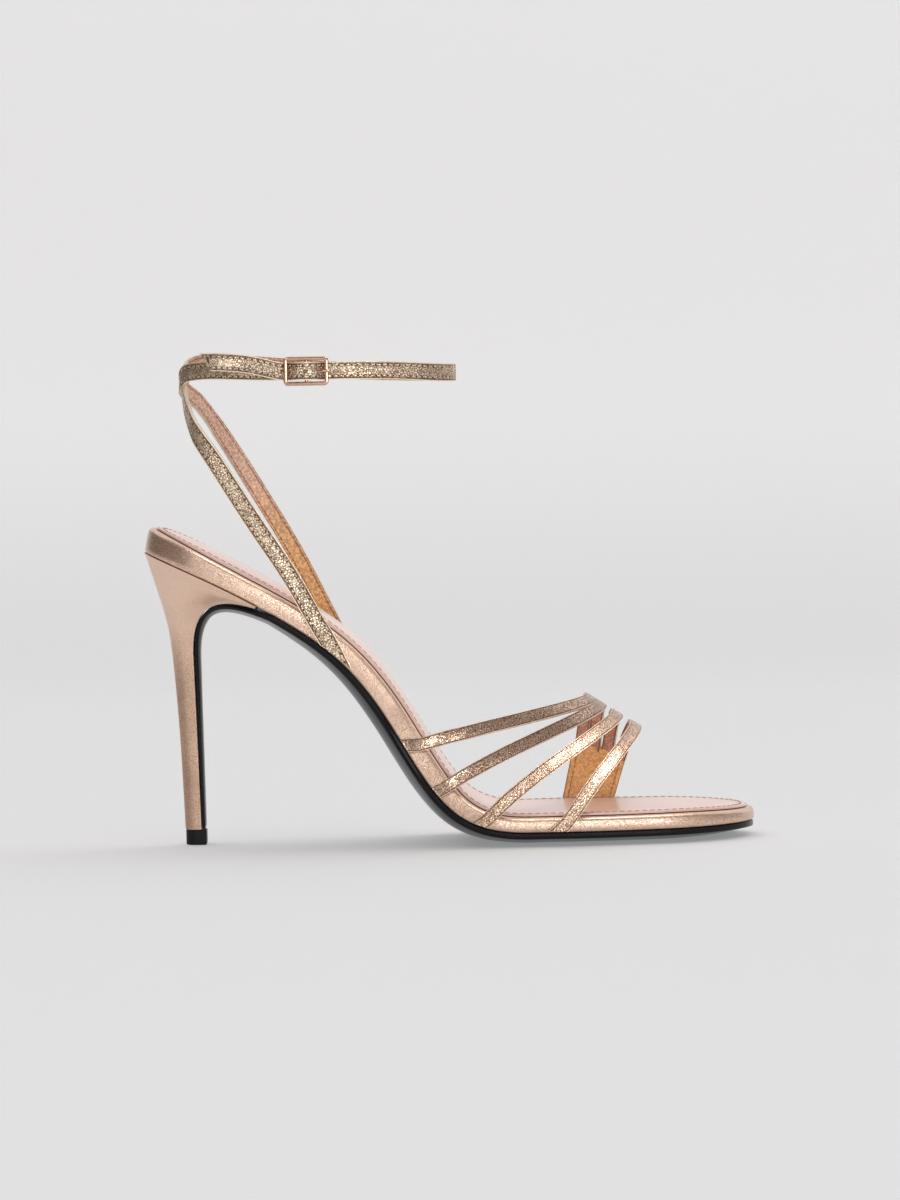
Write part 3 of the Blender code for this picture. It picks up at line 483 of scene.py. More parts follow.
def outsole_belly(along):
    """How far the middle of the outsole stands below its edge."""
    tread = FLAP_WING + TREAD_START * LAST.length - WING_ALONG
    table = (
        (0.0, FLAP_END_BELLY),
        (THROAT_ALONG, FLAP_BELLY),
        (FLAP_WING, WING_BELLY),
        (mix(FLAP_WING, tread, 0.45), WAIST_BELLY),
        (mix(FLAP_WING, tread, 0.75), WAIST_BELLY),
        (tread - TREAD_BELLY * 4, TREAD_BELLY),
    )
    return interpolate(table, along)


def heel_back_line():
    """The heel's back edge in the middle plane, from the seat down to the top piece."""
    top = LAST.place(0.0, 0, -SEAM)
    points = [(top.x, top.z)]
    for share in even(0.985, TIP_TOP / HEEL_HEIGHT, 60):
        x = SEAT_BACK.x + HEEL_SET * interpolate(HEEL_BACK, share)
        points.append((x, HEEL_HEIGHT * share))
    return Track(points)


def smooth_line(keys, steps):
    """Points along a smooth line through the keys."""
    ends = [keys[0] * 2 - keys[1], *keys, keys[-1] * 2 - keys[-2]]
    line = []
    for a, b, c, d in zip(ends, ends[1:], ends[2:], ends[3:]):
        reach = (c - b).length / 3
        leaving = b + (c - a).normalized() * reach
        arriving = c - (d - b).normalized() * reach
        line += interpolate_bezier(b, leaving, arriving, c, steps)[:-1]
    return line + [keys[-1]]


def on_foot(rim_z, x, ridge_x, turn, thick):
    """A point on the foot's form: turn 0 is the outer edge, 90 the ridge and 180 the inner edge."""
    rise = max(0.0, math.sin(math.radians(turn))) ** FOOT_FULLNESS
    lean = math.cos(math.radians(turn))
    spread = abs(lean) ** FOOT_FULLNESS
    along = LAST.along_at(x, INSOLE_BALL)
    side = 0 if lean > 0 else 1
    out = SEAM + thick / 2
    edge = insole_edge(along)[side] + math.copysign(out, -lean)
    flare = (insole_edge(along + out)[side] - insole_edge(along - out)[side]) / (out * 2)
    slope = math.radians(VAMP_PITCH)
    first = SOLE_LENGTH * TOE_STRAPS[0][3]
    ridge_z = TREAD_LEVEL + VAMP_HEIGHT - math.tan(slope) * (ridge_x - first)
    point = Vector((x, mix(RIDGE_OFFSET, edge, spread), mix(rim_z, ridge_z, rise)))
    turned = math.copysign(spread, lean)
    face = Vector((math.sin(slope) * rise + flare * turned, -turned, math.cos(slope) * rise))
    return point, face.normalized()


def up_the_wall(foot_place, rim_place, outer_side, thick):
    """Stations from the outsole up the insole's wall to its rounded edge."""
    out = SEAM + thick / 2
    rim_lift = insole_thick(rim_place * LAST.length) - INSOLE_ROUND * 0.5
    middle_place = (foot_place + rim_place) / 2
    step = out / LAST.length
    stations = []
    for place, lift in ((foot_place, SEAM), (middle_place, (rim_lift + SEAM) / 2), (rim_place, rim_lift)):
        edge = on_insole(place + step, outer_side, out, lift) - on_insole(place - step, outer_side, out, lift)
        up = on_insole(place, outer_side, out, lift + out) - on_insole(place, outer_side, out, lift)
        face = edge.cross(up) if outer_side else up.cross(edge)
        stations.append((on_insole(place, outer_side, out, lift), face.normalized()))
    return stations


def foot_slant(foot_place, rim_place, width, outer_side):
    """How far a strap's foot is cut on the slant, so that it ends along the outsole."""
    forward = (rim_place - foot_place) * LAST.length
    slant = width / 2 * forward / (insole_thick(rim_place * LAST.length) - INSOLE_ROUND * 0.5)
    return slant if outer_side else -slant


LOOP_BACK = SEAT_BACK.x + ANKLE_LOOP_SET
LOOP_MIDDLE = LOOP_BACK + ANKLE_LOOP_LENGTH / 2


def on_loop(turn, rise, out=0.0):
    """A point on the loop round the leg: degrees from the back, inner side first, and rise as a share."""
    angle = math.radians(turn)
    long, wide = ANKLE_LOOP_LENGTH / 2, ANKLE_LOOP_WIDTH / 2
    face = Vector((-math.cos(angle) / long, math.sin(angle) / wide, 0)).normalized()
    height = ANKLE_HEIGHT + ANKLE_RISE * rise
    point = Vector((LOOP_MIDDLE - long * math.cos(angle), wide * math.sin(angle), height))
    return point + face * out


BUCKLE_AT = on_loop(BUCKLE_TURN, BUCKLE_RISE)
BUCKLE_AHEAD = (on_loop(BUCKLE_TURN - 1, 0) - on_loop(BUCKLE_TURN + 1, 0)).normalized()
BUCKLE_OUT = BUCKLE_AHEAD.cross(Vector((0, 0, 1)))
BAR_TO_STRAP = BUCKLE_BAR / 2 + SEAM + ANKLE_STRAP_THICK / 2
FRAME_OUT = ANKLE_STRAP_THICK / 2 + SEAM / 2 + BAR_TO_STRAP
PIN_OUT = FRAME_OUT - PIN_SET
FOLD = BUCKLE_PIN / 2 + SEAM + ANKLE_STRAP_THICK / 2
EYE = BUCKLE_PIN / 2 + SEAM + PRONG_WIRE / 2
RAIL = BUCKLE_LENGTH / 2 - BUCKLE_BAR / 2


def by_buckle(along, out, up=0.0):
    """A point by the middle of the buckle: along the strap to the front, out from the leg, and up."""
    return BUCKLE_AT + BUCKLE_AHEAD * along + BUCKLE_OUT * out + Vector((0, 0, up))


def upright(line, spin):
    """Gives each point of a line the level way that a strap's face looks there."""
    stations = []
    last = len(line) - 1
    for i, point in enumerate(line):
        ahead = line[min(last, i + 1)] - line[max(0, i - 1)]
        stations.append((point, Vector((0, 0, spin)).cross(ahead).normalized()))
    return stations


def sling(foot_place, rim_place, outer_side, table, crossing):
    """The foot of a sling on the insole's wall, and its keys from there to the crossing."""
    wall = up_the_wall(foot_place, rim_place, outer_side, ANKLE_STRAP_THICK)
    rim = wall[-1][0]
    keys = [rim]
    for along, up, out in table:
        point = Vector((mix(rim.x, crossing.x, along), rim.y * out, mix(rim.z, crossing.z, up)))
        keys.append(point)
    return wall, keys


def turn_round(radius, start, end, count):
    """Points round the buckle's pin, as distances along the strap and out, at angles in degrees."""
    angles = [math.radians(mix(start, end, i / count)) for i in range(count + 1)]
    return [(math.cos(angle) * radius, math.sin(angle) * radius) for angle in angles]


def prong_line():
    """The prong's line: round the pin, then under the long strap and through it onto the front rail."""
    top = FRAME_OUT + BUCKLE_BAR / 2 + PRONG_WIRE / 2 + SEAM / 2
    points = [(along, PIN_OUT + out) for along, out in turn_round(EYE, -20, -270, 10)]
    points += [(RAIL * 0.30, PIN_OUT + EYE * 1.1), (RAIL * 0.60, mix(PIN_OUT + EYE, top, 0.6))]
    points += [(RAIL * 0.85, top * 0.98), (RAIL, top), (RAIL + BUCKLE_BAR * 0.75, top - BUCKLE_BAR * 0.15)]
    return [by_buckle(along, out) for along, out in points]


# Laying leather

# Shares of a strap's thickness: the crown of its face, and its rounded corners
STRAP_CROWN = 0.12
STRAP_CORNER = 0.26
TAB_CORNER = 0.2
EASE_ROUNDS = 4
EDGE_STEPS = 5


def lift_selection():
    bpy.ops.object.select_all(action="DESELECT")


def lay(name, rows, patches, finishes, closed=False):
    """Lays a grid of leather over rows of points. A patch gives each row and column its place on the hide."""
    lift_selection()
    across, down = len(rows[0]), len(rows)
    bpy.ops.mesh.primitive_grid_add(x_subdivisions=across - 1, y_subdivisions=down - 1, size=1)
    piece = bpy.context.object
    piece.name = piece.data.name = name
    for corner in piece.data.vertices:
        i = round((corner.co.x + 0.5) * (across - 1))
        j = round((corner.co.y + 0.5) * (down - 1))
        corner.co = rows[j][i]
    hide = piece.data.uv_layers.active
    hide.name = "hide"
    for spot in hide.uv:
        i = round(spot.vector.x * (across - 1))
        j = round(spot.vector.y * (down - 1))
        spot.vector = patches[j][i]
    for finish in finishes:
        piece.data.materials.append(finish)
    if closed:
        bpy.ops.object.mode_set(mode="EDIT")
        bpy.ops.mesh.select_all(action="SELECT")
        bpy.ops.mesh.remove_doubles(threshold=1e-6)
        bpy.ops.mesh.dissolve_degenerate(threshold=1e-6)
        bpy.ops.mesh.normals_make_consistent(inside=False)
        bpy.ops.object.mode_set(mode="OBJECT")
    return piece


def apply_modifiers(piece):
    lift_selection()
    piece.select_set(True)
    bpy.context.view_layer.objects.active = piece
    for step in list(piece.modifiers):
        bpy.ops.object.modifier_apply(modifier=step.name)


def finish_piece(piece, node, angle=40):
    """Applies a piece's modifiers, smooths its shading and lets it stand for its CAD node."""
    apply_modifiers(piece)
    bpy.ops.object.shade_smooth_by_angle(angle=math.radians(angle))
    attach(piece, "root")
    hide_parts(node)


def back_with_lining(piece, outwards, thick, corner, even):
    """Turns a sheet's face outwards, backs it with its lining and paints the rounded edge between them."""
    if piece.data.polygons[len(piece.data.polygons) // 2].normal.dot(outwards) < 0:
        bpy.ops.object.mode_set(mode="EDIT")
        bpy.ops.mesh.select_all(action="SELECT")
        bpy.ops.mesh.flip_normals()
        bpy.ops.object.mode_set(mode="OBJECT")
    body = piece.modifiers.new("lining", "SOLIDIFY")
    body.thickness = thick
    body.offset = 0
    body.use_even_offset = even
    body.material_offset = 1
    body.material_offset_rim = 2
    edges = piece.modifiers.new("painted_edge", "BEVEL")
    edges.width = thick * corner
    edges.segments = 2
    edges.limit_method = "ANGLE"
    edges.angle_limit = math.radians(60)


def running(points):
    """The distance of each point along its line."""
    marks = [0.0]
    for a, b in zip(points, points[1:]):
        marks.append(marks[-1] + (b - a).length)
    return marks


def sole_covering(name, track, edge, stations, ends, rings, finishes):
    """A closed layer on a track, as the CAD's.

    A ring is a share of the way in and a distance more, a lift, and the distance across the hide.
    """
    start, end = stations[0], stations[-1]
    rim = [(a, edge(a)[0]) for a in stations] + [(a, edge(a)[1]) for a in reversed(stations)]
    rim.append(rim[0])
    spines = []
    for along, _ in rim:
        centre = min(end - ends[1], max(start + ends[0], along))
        spines.append((centre, sum(edge(centre)) / 2))
    rows, patches = [], []
    marks = running([track.place(a, c, 0) for a, c in rim])
    for share, inset, lift, margin in rings:
        row, patch = [], []
        for (along, across), (centre, middle), mark in zip(rim, spines, marks):
            span = math.hypot(centre - along, middle - across)
            reach = inset(along) if callable(inset) else inset
            pull = 1.0 if span < 1e-6 else min(1.0, share + reach / span)
            at = mix(along, centre, pull)
            row.append(track.place(at, mix(across, middle, pull), lift(at)))
            patch.append((mark, margin))
        rows.append(row)
        patches.append(patch)
    return lay(name, rows, patches, finishes, closed=True)


def ease(edge, first, last):
    """Takes the corner out of a strap's edge where it leaves the wall, along the shoe only."""
    for _ in range(EASE_ROUNDS):
        for i in range(first, last):
            before, after = (edge[i] - edge[i - 1]).length, (edge[i + 1] - edge[i]).length
            edge[i].x = mix(edge[i].x, mix(edge[i - 1].x, edge[i + 1].x, before / (before + after)), 0.5)


def strap_leather(name, stations, width, thick, finishes, slants, eased=None):
    """A strap along the CAD's stations: leather outside, lining inside and a painted edge between them."""
    last = len(stations) - 1
    left, right = [], []
    for i, (point, face) in enumerate(stations):
        ahead = (stations[min(last, i + 1)][0] - stations[max(0, i - 1)][0]).normalized()
        side = ahead.cross(face).normalized() * width / 2
        if i == 0:
            side += ahead * slants[0]
        if i == last:
            side += ahead * slants[1]
        left.append(point + side)
        right.append(point - side)
    if eased:
        ease(left, *eased)
        ease(right, *eased)
    left, right = smooth_line(left, EDGE_STEPS), smooth_line(right, EDGE_STEPS)
    middle = [(a + b) / 2 for a, b in zip(left, right)]
    marks = running(middle)
    shares = (-1.0, -0.86, -0.5, 0.0, 0.5, 0.86, 1.0)
    rows, patches = [], []
    for i, (a, b) in enumerate(zip(left, right)):
        ahead = middle[min(len(middle) - 1, i + 1)] - middle[max(0, i - 1)]
        out = (a - b).cross(ahead).normalized() * thick * STRAP_CROWN
        rows.append([b.lerp(a, (share + 1) / 2) + out * (1 - share * share) for share in shares])
        patches.append([(marks[-1] - marks[i], share * width / 2) for share in shares])
    piece = lay(name, rows, patches, finishes)
    back_with_lining(piece, stations[last // 2][1], thick, STRAP_CORNER, even=False)
    return piece


# Finishes

STITCH_DIP = 0.00022
STITCH_IN = 0.0021
STITCH_PITCH = 0.0026
STITCH_RISE = 0.36
STITCH_LENGTH = 0.0019
THREAD = 0.0005
STRAP_STITCH = 0.0021
SOLE_CORNER = 0.00025

# Heights between which a finish changes: up the heel's stem, where painted shade darkens it, and down the
# lining of the slings
STEM_SHADE_TOP = 0.077
STEM_SHADE_FADE = 0.024
LINING_FADE = (0.132, 0.090)


class Dye:
    """One value in a finish. Python's arithmetic on it adds Math nodes."""

    def __init__(self, bench, link):
        self.bench = bench
        self.link = link

    def math(self, operation, *terms):
        return self.bench.node("ShaderNodeMath", {"operation": operation}, terms)

    def __add__(self, other):
        return self.math("ADD", self, other)

    def __radd__(self, other):
        return self.math("ADD", other, self)

    def __sub__(self, other):
        return self.math("SUBTRACT", self, other)

    def __rsub__(self, other):
        return self.math("SUBTRACT", other, self)

    def __mul__(self, other):
        return self.math("MULTIPLY", self, other)

    def __rmul__(self, other):
        return self.math("MULTIPLY", other, self)

    def __truediv__(self, other):
        return self.math("DIVIDE", self, other)

    def __rtruediv__(self, other):
        return self.math("DIVIDE", other, self)

    def __abs__(self):
        return self.math("ABSOLUTE", self)

    def held(self):
        return self.bench.node("ShaderNodeClamp", {}, (self, 0.0, 1.0))

    def ramp(self, low, high):
        """0 below low and 1 above high, smooth between them. With low above high it falls instead."""
        return self.bench.node(
            "ShaderNodeMapRange",
            {"interpolation_type": "SMOOTHSTEP", "clamp": True},
            {"Value": self, "From Min": low, "From Max": high, "To Min": 0.0, "To Max": 1.0},
        )

    def cycle(self, length):
        return self.math("FRACT", self / length)


class Bench:
    """A finish's node tree, with one method that adds a node."""

    def __init__(self, name, world=False):
        self.finish = bpy.data.worlds.new(name) if world else bpy.data.materials.new(name)
        self.finish.use_nodes = True
        self.tree = self.finish.node_tree
        self.shader = self.tree.nodes["Background" if world else "Principled BSDF"]

    def fill(self, socket, value):
        if isinstance(value, Dye):
            self.tree.links.new(value.link, socket)
        else:
            socket.default_value = value

    def node(self, kind, settings, sockets, out=0):
        made = self.tree.nodes.new(kind)
        for setting, value in settings.items():
            setattr(made, setting, value)
        pairs = sockets.items() if isinstance(sockets, dict) else enumerate(sockets)
        for key, value in pairs:
            self.fill(made.inputs[key], value)
        return Dye(self, made.outputs[out])

    def place(self):
        return self.node("ShaderNodeTexCoord", {}, (), "Object")

    def hide(self):
        """Distance along and across the piece of leather, in metres."""
        spot = self.node("ShaderNodeUVMap", {"uv_map": "hide"}, ())
        along = self.node("ShaderNodeSeparateXYZ", {}, (spot,), "X")
        across = self.node("ShaderNodeSeparateXYZ", {}, (spot,), "Y")
        return along, across

    def cloud(self, size, detail=3.0, rough=0.55, at=None):
        """Soft mottling with spots of this size in metres."""
        values = {"Vector": at or self.place(), "Scale": 1 / size, "Detail": detail, "Roughness": rough}
        return self.node("ShaderNodeTexNoise", {"normalize": True}, values)

    def pebbles(self, size, at):
        """Distance from the middle of each pebble of leather grain, 0 there and about 0.6 in the creases."""
        values = {"Vector": at, "Scale": 1 / size, "Smoothness": 0.35, "Randomness": 1.0}
        return self.node("ShaderNodeTexVoronoi", {"feature": "SMOOTH_F1"}, values)

    def creases(self, size, at):
        """The net of creases round the pebbles of a leather's grain, 1 in a crease and 0 on a pebble."""
        values = {"Vector": at, "Scale": 1.3 / size, "Detail": 1.0}
        sway = self.node("ShaderNodeTexNoise", {"normalize": False}, values, "Color")
        waver = (size * 0.35,) * 3
        bent = self.node("ShaderNodeVectorMath", {"operation": "MULTIPLY_ADD"}, (sway, waver, at))
        values = {"Vector": bent, "Scale": 1 / size, "Randomness": 1.0}
        gap = self.node("ShaderNodeTexVoronoi", {"feature": "DISTANCE_TO_EDGE"}, values)
        return gap.ramp(0.24, 0.03)

    def blend(self, share, low, high):
        settings = {"data_type": "RGBA", "clamp_factor": True}
        colours = [(*c, 1) if isinstance(c, tuple) else c for c in (low, high)]
        return self.node("ShaderNodeMix", settings, {0: share, 6: colours[0], 7: colours[1]}, 2)

    def relief(self, height, depth):
        return self.node("ShaderNodeBump", {}, {"Height": height, "Distance": depth, "Strength": 1.0})

    def upwards(self, at):
        return self.node("ShaderNodeSeparateXYZ", {}, (at,), "Z")

    def finished(self, **sockets):
        for name, value in sockets.items():
            self.fill(self.shader.inputs[name.replace("_", " ")], value)
        return self.finish


def foil_leather(
    name,
    light,
    dark,
    crease,
    contrast,
    rough,
    veins=0.85,
    bite=0.045,
    half=0.0,
    fold=0.0,
    stitched=0.0,
    pitch=0.0,
    stem=0.0,
):
    """Metallic foil on grained leather: pale where the foil is whole, brown in the creases of the grain.

    A strap, half as wide as half, has a groove at fold from its edge and stitches of a pitch at stitched
    from it. The groove, the stitch channel, the holes between stitches and the line across the end are
    darkened as painted shade. Below the height stem the grain shows more and the colour darkens as
    painted shade.
    """
    bench = Bench(name)
    at = bench.place()
    net = bench.creases(crease, at)
    speck = bench.cloud(crease * 0.45, 2.0, 0.7, at)
    patch = bench.cloud(crease * 5, 2.0, 0.6, at)
    drift = bench.cloud(0.018, 2.0, 0.5, at)
    valley = (net * patch.ramp(0.15, 0.50) * veins + speck.ramp(0.48, 0.70) * (0.9 - veins * 0.6)).held()
    height = speck * 0.4 - valley * 1.1
    shade = valley * contrast + (drift - 0.5) * 0.22
    rough = rough + valley * 0.16 + speck * 0.05
    # Below the height stem the grain shows more and the base colour darkens: painted shade down the heel's
    # stem.
    if stem:
        low = bench.upwards(at).ramp(stem, stem - STEM_SHADE_FADE)
        shade = shade * (1 + low * 1.6) + low * (speck * 0.50 + 0.22)
        rough = rough + low * 0.06
    if half:
        along, across = bench.hide()
        edge = half - abs(across)
        groove = abs(edge - fold).ramp(0.00024, 0.00004)
        # Pale foil along the edge, and painted shade in the groove.
        shade = shade * edge.ramp(fold - 0.0003, fold) + groove * 0.85
        height = height - groove * 2.0
        if stitched:
            row = abs(edge - stitched).ramp(0.00030, 0.00012)
            gap = abs(along.cycle(pitch) - 0.5).ramp(0.30, 0.40)
            bed = abs(edge - stitched).ramp(0.00050, 0.0002)
            beside = edge.ramp(stitched - 0.0001, stitched + 0.0001)
            end = abs(along - stitched).ramp(0.00045, 0.00015) * beside
            # Painted shade in the line across the strap's end, in the stitch channel and in the holes between
            # stitches; the thread itself is pale.
            shade = shade + end * 0.7
            height = height - end * 1.8
            thread = row * (1 - gap)
            shade = shade + bed * 0.45 + row * gap * 0.9 - thread * 0.75
            height = height + thread * 3.0 - bed * 1.8 - row * gap * 2.0
    return bench.finished(
        Base_Color=bench.blend(shade.held(), light, dark),
        Metallic=(0.92 - valley * 0.35).held(),
        Roughness=rough.held(),
        Normal=bench.relief(height, crease * bite),
    )


def sock_leather(name, light, dark):
    """Pink lining leather on the insole: satin, with fine pores, pressed down under the row of stitches."""
    bench = Bench(name)
    at = bench.place()
    along, margin = bench.hide()
    pore = bench.pebbles(0.0005, at)
    drift = bench.cloud(0.03, 3.0, 0.5, at)
    bed = abs(margin - SOCK_MARGIN - STITCH_IN).ramp(0.0007, 0.0002)
    holes = abs(along.cycle(STITCH_PITCH) - 0.5).ramp(0.30, 0.45)
    rim = margin.ramp(SOCK_MARGIN + 0.0009, SOCK_MARGIN + 0.0003)
    # Painted shade in the dip under the stitches, in the needle holes and along the sock's edge.
    shade = (drift - 0.45) * 0.30 + pore * 0.10 + bed * 0.35 + bed * holes * 0.4 + rim * 0.45
    height = pore * -0.2 - bed * 2.2 - bed * holes * 2.0
    return bench.finished(
        Base_Color=bench.blend(shade.held(), light, dark),
        Metallic=0.12,
        Roughness=(0.40 + pore * 0.10 + drift * 0.06).held(),
        Coat_Weight=(0.60 - pore * 0.12 - bed * 0.4).held(),
        Coat_Roughness=0.14,
        Normal=bench.relief(height, 0.00005),
    )


def thread_finish(name, colour):
    """Waxed sewing thread, twisted from finer strands."""
    bench = Bench(name)
    strand = bench.cloud(0.0002, 2.0, 0.6)
    return bench.finished(
        Base_Color=bench.blend(strand, colour, tuple(c * 0.5 for c in colour)),
        Roughness=(0.5 + strand * 0.2).held(),
        Normal=bench.relief(strand, 0.00003),
    )


def lining_leather(name, light, dark, half, inset, low_light=None):
    """Tan gold lining with dark stitches inset from its edge. Low on a sling its light colour is another."""
    bench = Bench(name)
    at = bench.place()
    along, across = bench.hide()
    pebble = bench.pebbles(0.0009, at)
    speck = bench.cloud(0.0005, 2.0, 0.7, at)
    edge = half - abs(across)
    row = abs(edge - inset).ramp(0.00034, 0.00014)
    gap = abs(along.cycle(STRAP_STITCH) - 0.5).ramp(0.30, 0.40)
    stain = bench.cloud(0.006, 2.0, 0.5, at)
    shade = (pebble * 0.9 + speck * 0.7).ramp(0.50, 1.05) * 0.55 + (stain - 0.5) * 0.3
    shade = shade + row * (1 - gap * 0.6) * 0.75 + edge.ramp(0.0006, 0.0001) * 0.4
    if low_light:
        light = bench.blend(bench.upwards(at).ramp(*LINING_FADE), light, low_light)
    return bench.finished(
        Base_Color=bench.blend(shade.held(), light, dark),
        Metallic=0.25,
        Roughness=(0.42 + speck * 0.14).held(),
        Normal=bench.relief(speck * 0.5 - pebble * 0.8 - row * 1.2, 0.00006),
    )


def edge_paint(name, colour):
    """The painted cut edge of a strap."""
    bench = Bench(name)
    ripple = bench.cloud(0.0015, 2.0)
    return bench.finished(
        Base_Color=bench.blend(ripple, colour, tuple(c * 0.55 for c in colour)),
        Metallic=0.35,
        Roughness=(0.42 + ripple * 0.15).held(),
        Normal=bench.relief(ripple, 0.00004),
    )


def sole_lacquer(name):
    """Black sole leather under a glossy lacquer, with faint waves of hide under it and dust in its dips."""
    bench = Bench(name)
    at = bench.place()
    wave = bench.cloud(0.012, 2.0, 0.5, at)
    speck = bench.cloud(0.0008, 3.0, 0.6, at)
    return bench.finished(
        Base_Color=bench.blend(speck.ramp(0.45, 0.8), (0.004, 0.003, 0.004), (0.012, 0.010, 0.011)),
        Roughness=(0.13 + wave * 0.08 + speck * 0.04).held(),
        IOR=1.3,
        Normal=bench.relief(wave * 0.8 + speck * 0.12, 0.00005),
    )


def rubber_finish(name):
    """Hard black rubber of the top piece."""
    bench = Bench(name)
    speck = bench.cloud(0.0006, 3.0, 0.6)
    return bench.finished(
        Base_Color=bench.blend(speck, (0.005, 0.0045, 0.005), (0.014, 0.012, 0.013)),
        Roughness=(0.40 + speck * 0.2).held(),
        IOR=1.3,
        Normal=bench.relief(speck, 0.00006),
    )


def buckle_plating(name):
    """Polished rose-gold plating, with hairlines and a little tarnish."""
    bench = Bench(name)
    at = bench.place()
    hair = bench.cloud(0.0006, 4.0, 0.7, at)
    tarnish = bench.cloud(0.004, 3.0, 0.6, at)
    return bench.finished(
        Base_Color=bench.blend(tarnish.ramp(0.4, 0.8), (0.70, 0.44, 0.32), (0.48, 0.28, 0.19)),
        Metallic=1.0,
        Roughness=(0.10 + hair * 0.10 + tarnish * 0.05).held(),
        Normal=bench.relief(hair, 0.00001),
    )


FOIL_LIGHT = (0.93, 0.69, 0.52)
FOIL_DARK = (0.22, 0.11, 0.065)
WALL_LIGHT = (0.93, 0.68, 0.53)
WALL_DARK = (0.40, 0.24, 0.16)
ANKLE_LIGHT = (1.0, 0.82, 0.61)
ANKLE_DARK = (0.15, 0.08, 0.045)
TAN_LIGHT = (1.0, 0.60, 0.25)
TAN_DARK = (0.50, 0.23, 0.085)
LINING_LIGHT = (0.84, 0.56, 0.42)
LINING_DARK = (0.32, 0.155, 0.095)
TOE_DARK = (0.19, 0.095, 0.055)
TOE_LINING_LIGHT = (0.70, 0.42, 0.29)
TOE_LINING_DARK = (0.24, 0.11, 0.07)
EDGE_CREAM = (0.88, 0.76, 0.62)
EDGE_BROWN = (0.34, 0.18, 0.10)
SOCK_LIGHT = (0.98, 0.71, 0.62)
SOCK_DARK = (0.54, 0.32, 0.25)
THREAD_PINK = (0.66, 0.44, 0.36)

WALL_FOIL = foil_leather(
    "wall_foil", WALL_LIGHT, WALL_DARK, crease=0.0006, contrast=1.15, rough=0.21, veins=0.25, bite=0.06
)
# The heel's leather, darkened down its stem by painted shade.
HEEL_FOIL = foil_leather(
    "heel_foil", WALL_LIGHT, WALL_DARK, crease=0.0006, contrast=0.45, rough=0.33, veins=0.10, stem=STEM_SHADE_TOP
)
TOE_FOIL = foil_leather(
    "toe_strap_foil",
    FOIL_LIGHT,
    TOE_DARK,
    crease=0.00070,
    contrast=1.08,
    rough=0.19,
    bite=0.065,
    half=TOE_STRAP_WIDTH / 2,
    fold=0.00045,
)
TAB_FOIL = foil_leather("tab_foil", FOIL_LIGHT, FOIL_DARK, crease=0.0008, contrast=0.7, rough=0.30)
ANKLE_FOIL = foil_leather(
    "ankle_strap_foil",
    ANKLE_LIGHT,
    ANKLE_DARK,
    crease=0.00085,
    contrast=1.0,
    rough=0.26,
    half=ANKLE_STRAP_WIDTH / 2,
    fold=0.00050,
    stitched=0.00115,
    pitch=STRAP_STITCH,
)
STRAP_LINING = lining_leather(
    "strap_lining", LINING_LIGHT, LINING_DARK, ANKLE_STRAP_WIDTH / 2, inset=0.0010, low_light=TAN_LIGHT
)
TOE_LINING = lining_leather(
    "toe_lining", TOE_LINING_LIGHT, TOE_LINING_DARK, TOE_STRAP_WIDTH / 2, inset=0.0004
)
TAB_LINING = lining_leather("tab_lining", TAN_LIGHT, TAN_DARK, TOE_STRAP_WIDTH * 2, inset=0.0017)
STRAP_EDGE = edge_paint("strap_edge_paint", EDGE_CREAM)
TAB_EDGE = edge_paint("tab_edge_paint", EDGE_BROWN)
SOCK_PINK = sock_leather("sock_pink", SOCK_LIGHT, SOCK_DARK)
SOCK_THREAD = thread_finish("sock_thread", THREAD_PINK)
SOLE_BLACK = sole_lacquer("sole_black_lacquer")
TOP_PIECE_RUBBER = rubber_finish("top_piece_black_rubber")
BUCKLE_GOLD = buckle_plating("buckle_rose_plating")


# Sole pieces


def fine_insole_stations():
    """Distances along the insole, closer together round its two ends."""
    toe = LAST.length - TOE_ROUND
    return crowd_start(0.0, SEAT_ROUND, 22) + even(SEAT_ROUND, toe, 110) + crowd_end(toe, LAST.length, 26)


def cover_insole():
    """The board's leather: up the wall, over the rounded edge and in under the sock."""

    def wall(share):
        return lambda a: mix(INSOLE_CORNER, insole_thick(a) - INSOLE_ROUND, share)

    def over(angle):
        return lambda a: insole_thick(a) - INSOLE_ROUND * (1 - math.sin(angle))

    rings = [(1.0, 0.0, lambda a: 0.0, 0.02), (0.0, INSOLE_CORNER * 3, lambda a: 0.0, 0.0012)]
    rings += [(0.0, INSOLE_CORNER, lambda a: 0.0, 0.0004), (0.0, 0.0, lambda a: INSOLE_CORNER, 0.0)]
    for share in (0.25, 0.5, 0.75, 1.0):
        bulge = INSOLE_CORNER * 0.2 * math.sin(math.pi * share)
        rings.append((0.0, flared(-bulge, share), wall(share), -0.001 * share))
    for step in range(1, 9):
        angle = math.radians(90 * step / 8)
        inset = INSOLE_ROUND * (1 - math.cos(angle))
        rings.append((0.0, flared(inset), over(angle), -0.001 - 0.0004 * step))
    rings.append((0.0, flared(SOCK_MARGIN + 0.0012), lambda a: insole_thick(a), -0.006))
    rings.append((1.0, 0.0, lambda a: insole_thick(a), -0.03))
    ends = (SEAT_ROUND, TOE_ROUND)
    piece = sole_covering("insole_cover", LAST, insole_edge, fine_insole_stations(), ends, rings, [WALL_FOIL])
    finish_piece(piece, "insole")


